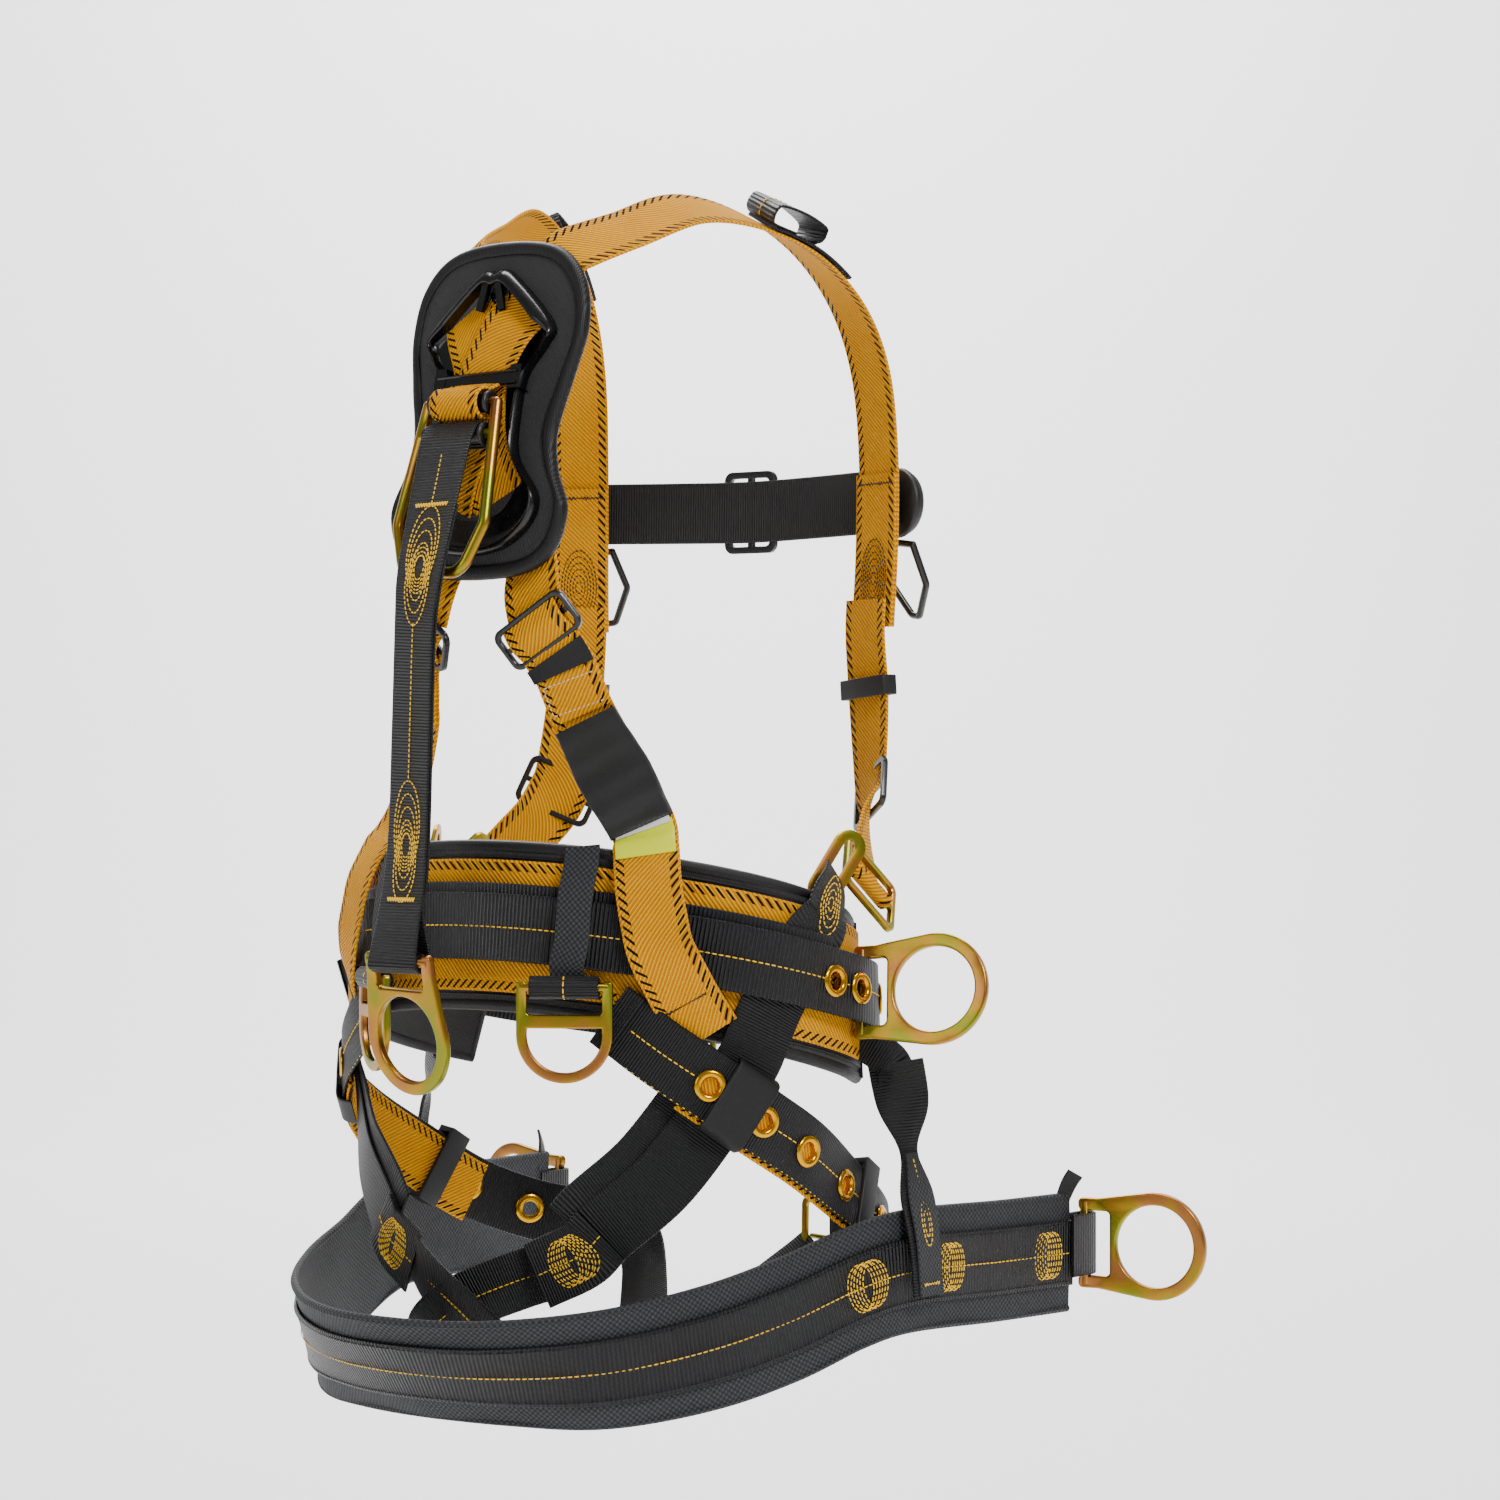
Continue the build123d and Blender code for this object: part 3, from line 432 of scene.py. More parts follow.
def ribbon(name, line, section, paint, start=0.0, stop=None, lift=0.0, shift=0.0, narrow=1.0, holes=(),
           ripple=0.25, step=ROW):
    """Flat stock along a line; lift and narrow may change along it. Holes are distances along it."""
    stop = line.length if stop is None else stop
    u = np.linspace(start, stop, max(2, round(abs(stop - start) / step)) + 1)
    half = np.abs(section[:, 0]).max()
    wide = value_at(narrow, u)[:, None]
    v = section[None, :, 0] * wide + shift
    sag = ripple * np.sin(u / 19 + len(name))[:, None] * np.sin(v / 15 + 1.3)
    h = section[None, :, 1] + value_at(lift, u)[:, None] + sag
    along = np.broadcast_to(u[:, None], v.shape)
    points = line.at(along, v, h)
    keep = None
    if holes:
        middle_u = (along + np.roll(along, -1, 0))[:-1] / 2
        middle_v = (v + np.roll(v, -1, 1))[:-1] / 2
        keep = np.ones(middle_u.shape, bool)
        for hole in holes:
            keep &= np.hypot(middle_u - hole, middle_v) > HOLE
    faces = grid_faces(len(u), len(section), keep=keep)
    uv = np.stack([along, np.broadcast_to(section[None, :, 0], v.shape)], -1).reshape(-1, 2)
    edge = np.broadcast_to(half - np.abs(section[None, :, 0]), v.shape).ravel()
    return make_mesh(name, points.reshape(-1, 3), faces, paint, uv, edge)


def stitch_paths(paths, pitch, share):
    """Start and end of every stitch on paths of (along, across) points."""
    starts, ends = [], []
    for path in paths:
        path = np.array(path, float)
        reach = measure(np.column_stack([path, np.zeros(len(path))]))
        count = max(1, round(reach[-1] / pitch))
        step = reach[-1] / count
        middle = (np.arange(count) + 0.5) * step
        for goals, store in ((middle - share * step / 2, starts), (middle + share * step / 2, ends)):
            store.append(np.column_stack([np.interp(goals, reach, path[:, k]) for k in (0, 1)]))
    return np.vstack(starts), np.vstack(ends)


# share of a stitch's length, of its radius, and of the rise over the cloth
STITCH = ((0.0, 0.3, -0.5), (0.14, 0.9, 0.1), (0.5, 1.1, 0.35), (0.86, 0.9, 0.1), (1.0, 0.3, -0.5))


def sew(name, line, paths, paint, height, pitch=3.8, share=0.76, radius=0.42):
    """Raised stitches over a strap whose face lies at a height."""
    a, b = stitch_paths(paths, pitch, share)
    low, high = line.at(a[:, 0], a[:, 1], height), line.at(b[:, 0], b[:, 1], height)
    face = unit(np.stack([np.interp(a[:, 0], line.reach, line.face[:, k]) for k in range(3)], -1))
    side = unit(np.cross(face, high - low))
    rings = []
    for t, swell, rise in STITCH:
        centre = low + (high - low) * t + face * rise * radius
        turn = np.arange(6) * math.pi / 3
        rings.append(centre[:, None] + radius * swell * (
            side[:, None] * np.cos(turn)[None, :, None] + face[:, None] * np.sin(turn)[None, :, None]))
    points = np.stack(rings, 1)
    faces = []
    for k in range(len(points)):
        faces += grid_faces(5, 6, start=k * 30)
    return make_mesh(name, points.reshape(-1, 3), faces, paint)


def straight(u0, u1, v=0.0):
    return [(u0, v), (u1, v)]


def oval(u, v, half_u, half_v):
    turn = np.linspace(0, 2 * math.pi, 41)
    return [(u + half_u * math.cos(a), v + half_v * math.sin(a)) for a in turn]


def oval_fan(u, v, half_u, half_v, count, spread):
    """Equal ovals that step along the strap."""
    steps = np.linspace(-0.5, 0.5, count)
    return [oval(u + spread * step, v, half_u, half_v - (k % 2) * 0.8) for k, step in enumerate(steps)]


def oval_nest(u, v, half_u, half_v, count):
    """Ovals inside each other."""
    return [oval(u, v, half_u * (k + 1) / count, half_v * (k + 1.2) / (count + 0.2)) for k in range(count)]


def zigzag(u, v0, v1, half, turns):
    """A bar tack across the strap."""
    return [(u + half * (1 if k % 2 else -1), v0 + (v1 - v0) * k / turns) for k in range(turns + 1)]


def place(made, node, hides=True):
    """The piece rides with its node's body and stands for the node."""
    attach(made, BODY_OF[node])
    if hides:
        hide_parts(node)
    return made


def strip(node, *shape, hides=True, **more):
    """A ribbon that belongs to a node."""
    return place(ribbon(*shape, **more), node, hides)


def stitch(node, name, line, paths, *how, paint=YELLOW_THREAD):
    """Stitches on a node's webbing."""
    place(sew(name, line, paths, paint, *how), node, hides=False)


def lathe(name, profile, frames, paint, segments=40):
    """A closed profile of (radius, height) turned round the face direction of each frame."""
    verts, faces = [], []
    turn = np.linspace(0, 2 * math.pi, segments, endpoint=False)
    for centre, along, side, face in frames:
        ring = np.cos(turn)[:, None] * along + np.sin(turn)[:, None] * side
        grid = np.stack([centre + r * ring + h * face for r, h in profile], 1)
        faces += grid_faces(segments, len(profile), len(verts), loop_rows=True)
        verts += grid.reshape(-1, 3).tolist()
    return make_mesh(name, verts, faces, paint, sharp=60)


GROMMET = [
    (5.5, -2.4), (7.2, -2.9), (10.4, -2.7), (10.8, -2.2), (10.2, -1.6), (7.6, -1.5), (7.3, 0.0), (7.6, 1.3),
    (10.3, 1.3), (10.9, 1.7), (10.7, 2.3), (9.6, 2.9), (8.2, 3.1), (6.9, 2.8), (6.0, 1.9), (5.6, 0.6),
]


def cad_copy(node, paint, bevel=0.0, sharp=32):
    """The CAD piece as one closed skin with soft edges."""
    mesh = frame["nodes"][node].data.copy()
    work = bmesh.new()
    work.from_mesh(mesh)
    bmesh.ops.remove_doubles(work, verts=work.verts, dist=2e-6)
    bmesh.ops.dissolve_limit(work, angle_limit=math.radians(0.6), verts=work.verts, edges=work.edges)
    bmesh.ops.recalc_face_normals(work, faces=work.faces)
    if bevel:
        least = math.radians(sharp)
        edges = [e for e in work.edges if len(e.link_faces) == 2 and e.calc_face_angle(0.0) > least]
        bmesh.ops.bevel(work, geom=edges, offset=bevel * MM, offset_type="OFFSET", segments=2, profile=0.6,
                        affect="EDGES", clamp_overlap=True)
    bmesh.ops.triangulate(work, faces=[f for f in work.faces if len(f.verts) > 4])
    work.to_mesh(mesh)
    work.free()
    mesh.materials.clear()
    mesh.materials.append(paint)
    mesh.polygons.foreach_set("material_index", [0] * len(mesh.polygons))
    mesh.polygons.foreach_set("use_smooth", [True] * len(mesh.polygons))
    mesh.set_sharp_from_angle(angle=math.radians(sharp))
    made = bpy.data.objects.new("part_" + node, mesh)
    bpy.context.scene.collection.objects.link(made)
    return place(made, node)


# ---- routes on the wearer's right, as in the CAD ----
SHOULDER_FRONT = [
    (-134, -132, 243, -0.3, -0.95, 0), (-136, -134, 300, -0.3, -0.95, 0), (-136, -134, 367, -0.3, -0.95, 0),
    (-133, -128, 424, -0.3, -0.9, 0.2), (-126, -110, 468, -0.35, -0.8, 0.5),
    (-114, -78, 502, -0.4, -0.5, 0.8),
    (-98, -35, 522, -0.45, -0.1, 0.9), (-80, 12, 527, -0.45, 0.3, 0.85), (-65, 60, 509, -0.3, 0.7, 0.6),
]
BACK_STRAP = [
    (-50, 136, 236), (-62, 126, 214), (-68, 119, 193), (-73, 113, 175), (-90, 103, 139),
    torso(131, 106, 9), torso(132, 91, 20), torso(132, 67, 27.5), torso(132.5, 44, 28), torso(133.5, 25, 28),
    torso(136.5, 5, 25.5), torso(140, -14, 18.5), torso(144, -32, 16),
]
HIP_STRAP = [
    (-182, -17, 80), (-189, -8, 66), torso(180, 52, 19), torso(177, 40, 18.2), torso(171, 30, 16.6),
    torso(164, 7, 15.7), torso(159, -16, 15.6), torso(156, -34, 15.8), torso(153.5, -50, 14),
    torso(149, -70, 9), torso(144, -94, 5), torso(134, -130, 4.5), torso(122, -161, 4.5),
    torso(117, -177, 5), torso(108, -191, 5),
]
LEG_STRAP = [
    torso(123, -19, 17), torso(133, -41, 17.5), torso(144.5, -64, 17.5), torso(157.5, -89, 15),
    torso(170.5, -111, 12.5), torso(187, -137, 10), (-186, -66, -167), (-163, -108, -186),
    (-130, -130, -193), (-92, -137, -193),
]
CROTCH_STRAP = [
    (-66, 132, -187, -0.3, 0.95, -0.2), (-34, 141, -198, -0.2, 0.95, -0.2), (5, 152, -216, 0.1, 0.9, -0.4),
    (38, 148, -242, 0.3, 0.8, -0.5), (50, 108, -268, 0.2, 0.3, -0.9), (40, 50, -278, 0, 0, -1),
    (5, -15, -272, 0, -0.2, -1), (-35, -75, -248, 0.1, -0.5, -0.85), (-68, -116, -217, 0, -0.9, -0.4),
    (-84, -136, -200, 0, -0.95, -0.2),
]
SADDLE = [
    (0, 215, -249, 0, 0.85, -0.55), (-70, 199, -249, -0.25, 0.85, -0.5), (-130, 165, -245, -0.6, 0.8, -0.3),
    (-172, 112, -234, -0.85, 0.5, -0.1), (-195, 55, -220, -0.95, 0.3, 0), (-212, 0, -203, -1, 0.2, 0),
    (-222, -50, -196, -1, 0.1, 0), (-232, -140, -198, -1, 0.1, 0), (-240, -218, -199, -1, 0.1, 0),
]
LINK_STRAP = [
    (-208, -52, -56, -0.6, 0.8, 0), (-214, -52, -84, -0.65, 0.75, 0), (-218, -52, -114, -0.95, 0.3, 0),
    (-226, -52, -145, -1, 0.1, 0), (-232, -52, -175, -1, 0, 0), (-235, -52, -212, -1, 0, 0),
]
FRONT_STRAP = [
    (-131, -126, 262, -0.3, -0.95, 0), (-131, -125, 235, -0.3, -0.95, 0), (-134, -125, 195, -0.3, -0.95, 0),
    (-138, -121, 150, -0.4, -0.9, 0), (-141, -116, 128, -0.5, -0.85, 0), (-148, -104, 106, -0.75, -0.6, 0.1),
    (-160, -86, 86, -0.9, -0.3, 0.1), (-175, -62, 62, -0.98, 0.1, 0.1),
]
CHEST_STRAP = [
    (-150, -138.5, 332, -0.3, -0.95, 0), (-120, -146, 332, -0.2, -0.97, 0), (-60, -158, 331, -0.1, -1, 0),
    (0, -162, 330, 0, -1, 0),
]
SIDES = (("right", lambda route: route), ("left", mirror_x))
PAD_ROWS = smooth(PAD_LINE, 3)


def pad_y(z):
    """Y of the dorsal pad's outer face at a height."""
    return np.interp(z, PAD_ROWS[:, 1], PAD_ROWS[:, 0]) + DORSAL_THICK


def on_pad(x, z, height):
    lean = (pad_y(z - 5) - pad_y(z + 5)) / 10
    return (x, pad_y(z) + height, z, 0, 1, lean)


def crossing(height):
    """The right shoulder strap over the dorsal pad, to the left of the waist."""
    return [
        on_pad(-48, 491, -12.6), on_pad(-41, 478, -12), on_pad(-30, 460, -3), on_pad(-18, 441, height - 0.8),
        on_pad(-9, 424, height), on_pad(-2, 405, height), on_pad(0, 385, height), on_pad(4, 364, height),
        on_pad(13, 341, height - 0.8), on_pad(25, 317, -3), on_pad(34, 299, -12), on_pad(41, 280, -12.4),
        (45, 137, 260, 0.1, 1, 0), (49, 136, 244, 0.2, 1, 0),
    ]


SHOULDER = {
    "right": Line(SHOULDER_FRONT + crossing(OVER_STRAP)),
    "left": Line(mirror_x(SHOULDER_FRONT + crossing(UNDER_STRAP))),
}
BACK = {side: Line(turn(BACK_STRAP)) for side, turn in SIDES}
HIP = {side: Line(turn(HIP_STRAP)) for side, turn in SIDES}
LEG = {side: Line(turn(LEG_STRAP)) for side, turn in SIDES}
FRONT = {side: Line(turn(FRONT_STRAP)) for side, turn in SIDES}
LINK = {side: Line(turn(LINK_STRAP)) for side, turn in SIDES}
WEBBING = flat_section(WEB, WEB_THICK)


def waist_row(angle, out, drop=0.0):
    """A place on a line round the waist, with its outer face."""
    point = np.array(around_waist(angle, out, drop))
    return (*point, *outward(point)[:2], WAIST_LEAN)


def waist_line(first, last, out):
    return Line([waist_row(angle, out) for angle in range(first, last + 1, 8)])


def belt_out(angle):
    """How far the belt stands off the body: over the side rings' bars, then over itself."""
    hump = max(math.exp(-((angle - ring) / 11) ** 2) for ring in (180 - SIDE_RING_ANGLE, SIDE_RING_ANGLE))
    out = BELT_OUT + SIDE_RING_RISE * hump
    rise = min(1.0, max(0.0, (angle - 250) / 24))
    rise = rise * rise * (3 - 2 * rise)
    return out + (TONGUE_OUT - out) * rise + max(0.0, angle - 347) ** 2 * 0.07


BELT = Line([waist_row(a, belt_out(a), -0.14 * max(0, a - 352) ** 2) for a in range(-76, 366, 8)])
PAD = waist_line(-28, 208, PAD_OUT)


def belt_at(angle):
    """Distance along the belt's first turn to an angle."""
    first_turn = BELT.reach < BELT.length * 0.76
    gap = np.linalg.norm(BELT.place - around_waist(angle, belt_out(angle)), axis=1)
    return float(BELT.reach[int(np.argmin(np.where(first_turn, gap, 1e9)))])


# ---- dorsal pad and its plate ----


def closed_outline(half, top, bottom, count=220):
    """Evenly spaced points (x, z) round an outline that is the same on both sides."""
    points = [(0, top)] + half + [(0, bottom)] + [(-x, z) for x, z in reversed(half)]
    fine = curve(np.array(points[-1:] + points + points[:2], float))
    fine = np.vstack([fine, fine[:1]])
    reach = measure(np.column_stack([fine, np.zeros(len(fine))]))
    goals = np.linspace(0, reach[-1], count, endpoint=False)
    return np.column_stack([np.interp(goals, reach, fine[:, k]) for k in (0, 1)])


def from_edge(rim, inset, height):
    """Points over the pad at a distance inside the outline and a height over the pad's face."""
    middle = np.array((0.0, 385.0))
    away = rim - middle
    far = np.linalg.norm(away, axis=1)
    inset = np.broadcast_to(inset, far.shape)
    flat = middle + away * (1 - np.minimum(inset, far * 0.985) / far)[:, None]
    return np.column_stack([flat[:, 0], pad_y(flat[:, 1]) + height, flat[:, 1]])


def shell(name, rim, rows, paint, loop_rows=False):
    """A body over the pad from rows of (inset, height)."""
    grid = np.stack([from_edge(rim, inset, height) for inset, height in rows])
    points = grid.reshape(-1, 3)
    faces = grid_faces(len(rows), len(rim), loop_rows=loop_rows)
    return make_mesh(name, points, faces, paint, points[:, [0, 2]], np.full(len(points), 30.0), 70)


def dorsal_pieces():
    rim = closed_outline(DORSAL_HALF, 500, 270)
    face = [(200, 0.2), (60, 0.2), (45, 0.4), (32, 0.6), (24, 0.5), (18, 0.0), (14, -0.6), (11, -1.3),
            (9, -1.6), (6, -1.2), (2, -2.5), (1, -5)]
    back = [(2, -8), (8, -9), (30, -9), (200, -9)]
    body = shell("pad_dorsal_body", rim, face + back, PAD_CLOTH)
    place(body, "dorsal_pad")
    tape = [(9.5, -0.9), (8.6, -0.1), (6, 0.5), (3, 0.3), (1, -0.9), (-0.2, -3.2), (-0.2, -6), (1, -8.4),
            (4, -9.6), (8.6, -9.4), (8.6, -5)]
    place(shell("pad_dorsal_tape", rim, tape, TAPE, loop_rows=True), "dorsal_pad")
    plate = closed_outline(PLATE_HALF, 478, 286)
    roof = np.clip((plate[:, 1] - 436) / 14, 0, 1) * 4.5
    flare = np.clip((340 - plate[:, 1]) / 20, 0, 1) * 3.0
    wide = 3.6 + roof + flare * 0.5
    rows = [(200, 0.9), (wide + 14, 0.9), (wide + 6, 1.0), (wide + 1.8, 1.6), (wide + 0.6, 4.5),
            (wide, 7.9 + roof * 0.6), (wide - 0.8, 8.6 + roof * 0.6), (wide * 0.5, 8.9 + roof * 0.5),
            (1.2, 8.2), (0.3, 7.0), (-0.6, 2.0), (-0.4, 0.2), (8, 0.1), (200, 0.1)]
    place(shell("moulding_dorsal_plate", plate, rows, GLOSS), "dorsal_plate")
    bar = Line([(-35, pad_y(405) + 11.5, 405, 0, 1, 0.2), (0, pad_y(405) + 12.2, 404, 0, 1, 0.2),
                (35, pad_y(405) + 11.5, 403, 0, 1, 0.2)], FINE_ROW)
    recess = np.array([(-5, -1.6), (-5.2, 1.0), (-4.4, 1.8), (-3.6, 1.6), (-3.0, 0.5), (3.0, 0.5), (3.6, 1.6),
                       (4.4, 1.8), (5.2, 1.0), (5, -1.6)])
    strip("dorsal_plate", "moulding_mid_bar", bar, recess, GLOSS, ripple=0.0)
    for x in (-33, 33):
        post = Line([(x, pad_y(412) + 5, 412, 0, 1, 0.2), (x, pad_y(396) + 5, 396, 0, 1, 0.2)], FINE_ROW)
        strip("dorsal_plate", f"moulding_post_{'left' if x > 0 else 'right'}", post, flat_section(4.5, 14, 6),
              GLOSS, ripple=0.0)
    boss = [(0.05, 0), (5.6, 0), (5.6, 2.6), (4.9, 3.4), (3.6, 3.5), (3.3, 2.9), (0.05, 2.9)]
    y_axis = np.array((0.0, 1.0, 0.25)) / math.hypot(1, 0.25)
    x_axis = np.array((1.0, 0.0, 0.0))
    spot = (np.array((0, pad_y(463) + 0.8, 463)), x_axis, np.cross(y_axis, x_axis), y_axis)
    place(lathe("moulding_hex_boss", boss, [spot], GLOSS, segments=6), "dorsal_plate")
    for side, turn in (("right", -1), ("left", 1)):
        rib = Line([(turn * 5, pad_y(470) + 5.5, 471, 0, 1, 0.2),
                    (turn * 10, pad_y(452) + 5.0, 452, 0, 1, 0.2)], FINE_ROW)
        strip("dorsal_plate", f"moulding_boss_rib_{side}", rib, flat_section(2.6, 8, 5), GLOSS, ripple=0.0)


def around(centre, radius, first, last, count):
    """Places round a bar in the YZ plane, facing outwards; angles start at +Y."""
    ways = [(0, math.cos(a), math.sin(a)) for a in np.radians(np.linspace(first, last, count))]
    return [(centre[0], centre[1] + radius * way[1], centre[2] + radius * way[2], *way) for way in ways]


def dorsal_webbing():
    for side in SHOULDER:
        strip(f"shoulder_strap_{side}", f"webbing_shoulder_{side}", SHOULDER[side], WEBBING, ORANGE)
    route = [(0, 132, 402, 0, -0.3, 1), (0, 142, 400, 0, -0.1, 1)] + around(DORSAL_BAR, 10.2, 112, -112, 9)
    route += [(0, 142, 373.5, 0, -0.2, -1), (0, 133, 372, 0, -0.4, -1)]
    wrap_line = Line(route, FINE_ROW)
    strip("dorsal_wrap", "webbing_dorsal_wrap", wrap_line, WEBBING, ORANGE, ripple=0.5,
          narrow=lambda u: 1.0 - 0.07 * np.sin(np.pi * u / wrap_line.length))
    half = [(4.3, 25.6), (7.0, 25.8), (8.2, 25.0), (8.3, 23.6), (6.6, 22.4), (6.3, 20)]
    tube = [(r, -h) for r, h in half] + half[::-1]
    low = [(r - 0.3 if r > 5 else r, h * 1.01) for r, h in tube]
    x_axis, y_axis, z_axis = np.eye(3)
    second = DORSAL_BAR + DORSAL_DOWN * 22
    place(lathe("sleeve_upper_bar", tube, [(DORSAL_BAR, y_axis, z_axis, x_axis)], RUBBER), "dorsal_sleeves")
    place(lathe("sleeve_lower_bar", low, [(second, y_axis, z_axis, x_axis)], RUBBER), "dorsal_sleeves")
    cad_copy("dorsal_ring", ZINC)


EXTENSION = Line([
    (0, 160.8 + 9.4, 365.8, 0, 1, 0.2), (0, 180, 332, 0.05, 1, 0.2), (0, 189, 303, 0.1, 1, 0.1),
    (0, 198, 270, 0.15, 1, 0.1), (3, 199, 237, 0.25, 1, 0), (6, 199, 163, 0.26, 1, 0),
    (8, 200, 95, 0.24, 1, 0), (9, 206, 50, 0.15, 1, 0), (10, 216.4, 17, 0.12, 1, 0),
])


def extension_pieces():
    layer = 1.05
    outer = [tuple(EXTENSION.at(u, 0, layer)) + tuple(EXTENSION.frame(u)[3]) for u in range(6, 346, 17)]
    inner = [tuple(EXTENSION.at(u, 0, -layer)) + tuple(-EXTENSION.frame(u)[3]) for u in range(322, 40, -17)]
    upper = around((0, 160.8, 365.8), 8.0, 195, 20, 6)
    lower = around((10, 207, 17), 7.7, -10, -170, 6)
    line = Line([upper[0][:1] + (151.6, 357.0, 0, -1, -0.2)] + upper + outer + lower + inner, ROW)
    ring_at = line.near((10, 207, 17))
    strip("extension_strap", "webbing_extension", line, flat_section(WEB, 1.9), BLACK, ripple=0.1,
          narrow=lambda u: 1.0 - 0.06 * np.exp(-(((u - ring_at) / 40) ** 2)))
    seam = layer + 0.95
    ring_u, nest_u = EXTENSION.near((0, 195, 280)), EXTENSION.near((8, 200, 97))
    tack_u, end_u = EXTENSION.near((0, 184, 318)), EXTENSION.near((9, 204, 58))
    paths = [straight(14, ring_u - 40), straight(ring_u + 40, nest_u - 40)]
    for middle in (ring_u, nest_u):
        paths += [oval(middle - 9 + 3.2 * k, 0, 30 - 5.4 * k, 14.5 - 2.4 * k) for k in range(5)]
        paths += [oval(middle + 16 - 2.6 * k, 0, 26 - 5.5 * k, 12 - 2.2 * k) for k in range(3)]
    stitch("extension_strap", "thread_extension", EXTENSION, paths, seam, 3.4)
    tacks = [zigzag(tack_u, -15, 15, 1.6, 24), zigzag(end_u, -14, 14, 1.6, 22)]
    stitch("extension_strap", "thread_extension_tacks", EXTENSION, tacks, seam, 3.4, 0.98, 0.5)
    ring_axis = np.array((0.9931, -0.1153, 0.0212))
    out = np.array((0.1172, 0.9768, -0.1794))
    tube = [(4.2, -21.8), (5.4, -22), (5.8, -21), (5.8, 21), (5.4, 22), (4.2, 21.8)]
    spot = (np.array((10.0, 207.0, 17.0)), out, np.cross(ring_axis, out), ring_axis)
    place(lathe("sleeve_extension", tube, [spot], RUBBER), "extension_sleeve")
    cad_copy("extension_ring", ZINC)


def up_sign(line, u):
    """Which way across the strap is up."""
    return 1 if line.frame(u)[2][2] > 0 else -1


def back_pieces(side):
    line = BACK[side]
    strip(f"back_strap_{side}", f"webbing_back_{side}", line, WEBBING, ORANGE, ripple=0.4)
    keeper = line.near((-60 if side == "right" else 60, 128, 219))
    centre, along, _, face = line.frame(0)
    hump = ((-15, 0.6), (-11, 1.2), (-6, 3.6), (-2, 5.2), (2, 5.4), (6, 4.2), (11, 1.6), (15, 0.8))
    over = Line([(*(centre + along * du + face * h), *face) for du, h in hump], FINE_ROW)
    strip(f"back_strap_{side}", f"webbing_adjuster_lap_{side}", over, WEBBING, ORANGE, ripple=0.2)
    strip("strap_keepers", f"webbing_back_keeper_{side}", line, flat_section(WEB + 1.5, 1.2), SMOOTH_BLACK,
          keeper - 3, keeper + 11, lift=4.6, ripple=0.0)
    strip(f"back_strap_{side}", f"webbing_back_fold_{side}", line, flat_section(WEB, 2.0), ORANGE, keeper - 8,
          keeper + 42, lift=2.4, ripple=0.35)
    rows = [[(keeper + 17, -HEM_IN), (keeper + 17, HEM_IN)], [(keeper + 37, -HEM_IN), (keeper + 37, HEM_IN)],
            [(keeper + 17, -HEM_IN), (keeper + 37, -HEM_IN)]]
    stitch(f"back_strap_{side}", f"thread_back_fold_{side}", line, rows, 3.5, 3.4, 0.75, 0.35,
           paint=PALE_THREAD)
    tack = [zigzag(line.length - 26, -18, 14, 1.4, 24)]
    stitch(f"back_strap_{side}", f"thread_back_tack_{side}", line, tack, 1.2, 3.2, 0.98, 0.55,
           paint=BLACK_THREAD)
    lining = LEG[side]
    first, last = lining.near(BACK_ENDS[side]), lining.near(KEEPER_AT[side])
    strip(f"back_strap_{side}", f"webbing_leg_lining_{side}", lining, flat_section(WEB, 1.6), ORANGE,
          first - 8, last + 66, lift=-2.4, shift=3.2 * -up_sign(lining, first), ripple=0.3)


def label_pieces():
    line = BACK["right"]
    first, last = line.near((-72, 113, 176)), line.near((-109, 98, 103))
    pack = flat_section(WEB + 5, 3.6, dome=1.5)
    strip("label_pack", "label_sleeve", line, pack, LABEL, first, last, ripple=1.2,
          lift=lambda u: 4.6 + 0.7 * np.sin(u / 7.0) + 0.4 * np.sin(u / 3.1),
          narrow=lambda u: 0.97 - 0.05 * np.cos((u - first) / (last - first) * 2 * np.pi))
    strip("label_pack", "label_card", line, flat_section(WEB - 6, 0.7), PAPER, last - 4, last + 4, lift=3.9,
          ripple=0.2)
    strip("size_tab", "label_size_tab", line, flat_section(WEB - 4, 0.9), LIME, last + 1, last + 24, lift=2.4,
          ripple=0.2)


def hip_pieces(side):
    line = HIP[side]
    up = up_sign(line, line.length - 90)
    flip = 1 if side == "right" else -1
    strip(f"hip_strap_{side}", f"webbing_hip_{side}", line, WEBBING, BLACK, start=9, ripple=0.0,
          narrow=lambda u: 1.0 - 0.35 * np.exp(-((u / 26) ** 2)))
    cross = line.near((flip * -150, 86, -76))
    strip(f"hip_strap_{side}", f"webbing_hip_second_{side}", line, flat_section(WEB, 2.0), BLACK, cross - 10,
          line.length - 30, lift=-1.9, shift=up * 17, ripple=0.5)
    end = line.length
    strip(f"hip_strap_{side}", f"webbing_hip_end_{side}", line, flat_section(WEB + 1, 2.0), BLACK, end - 50,
          end + 4, lift=2.3)
    top = line.near((flip * -188, 0, 48))
    upper = oval_nest(top, 0, 23, 11, 4) + [straight(top + 26, top + 60)]
    lower = [straight(end - 50, end + 3)] + oval_fan(end - 24, 0, 10, 16, 7, 13)
    stitch(f"hip_strap_{side}", f"thread_hip_top_{side}", line, upper, ON_WEB, 4.0)
    stitch(f"hip_strap_{side}", f"thread_hip_end_{side}", line, lower, 3.4, 4.0)


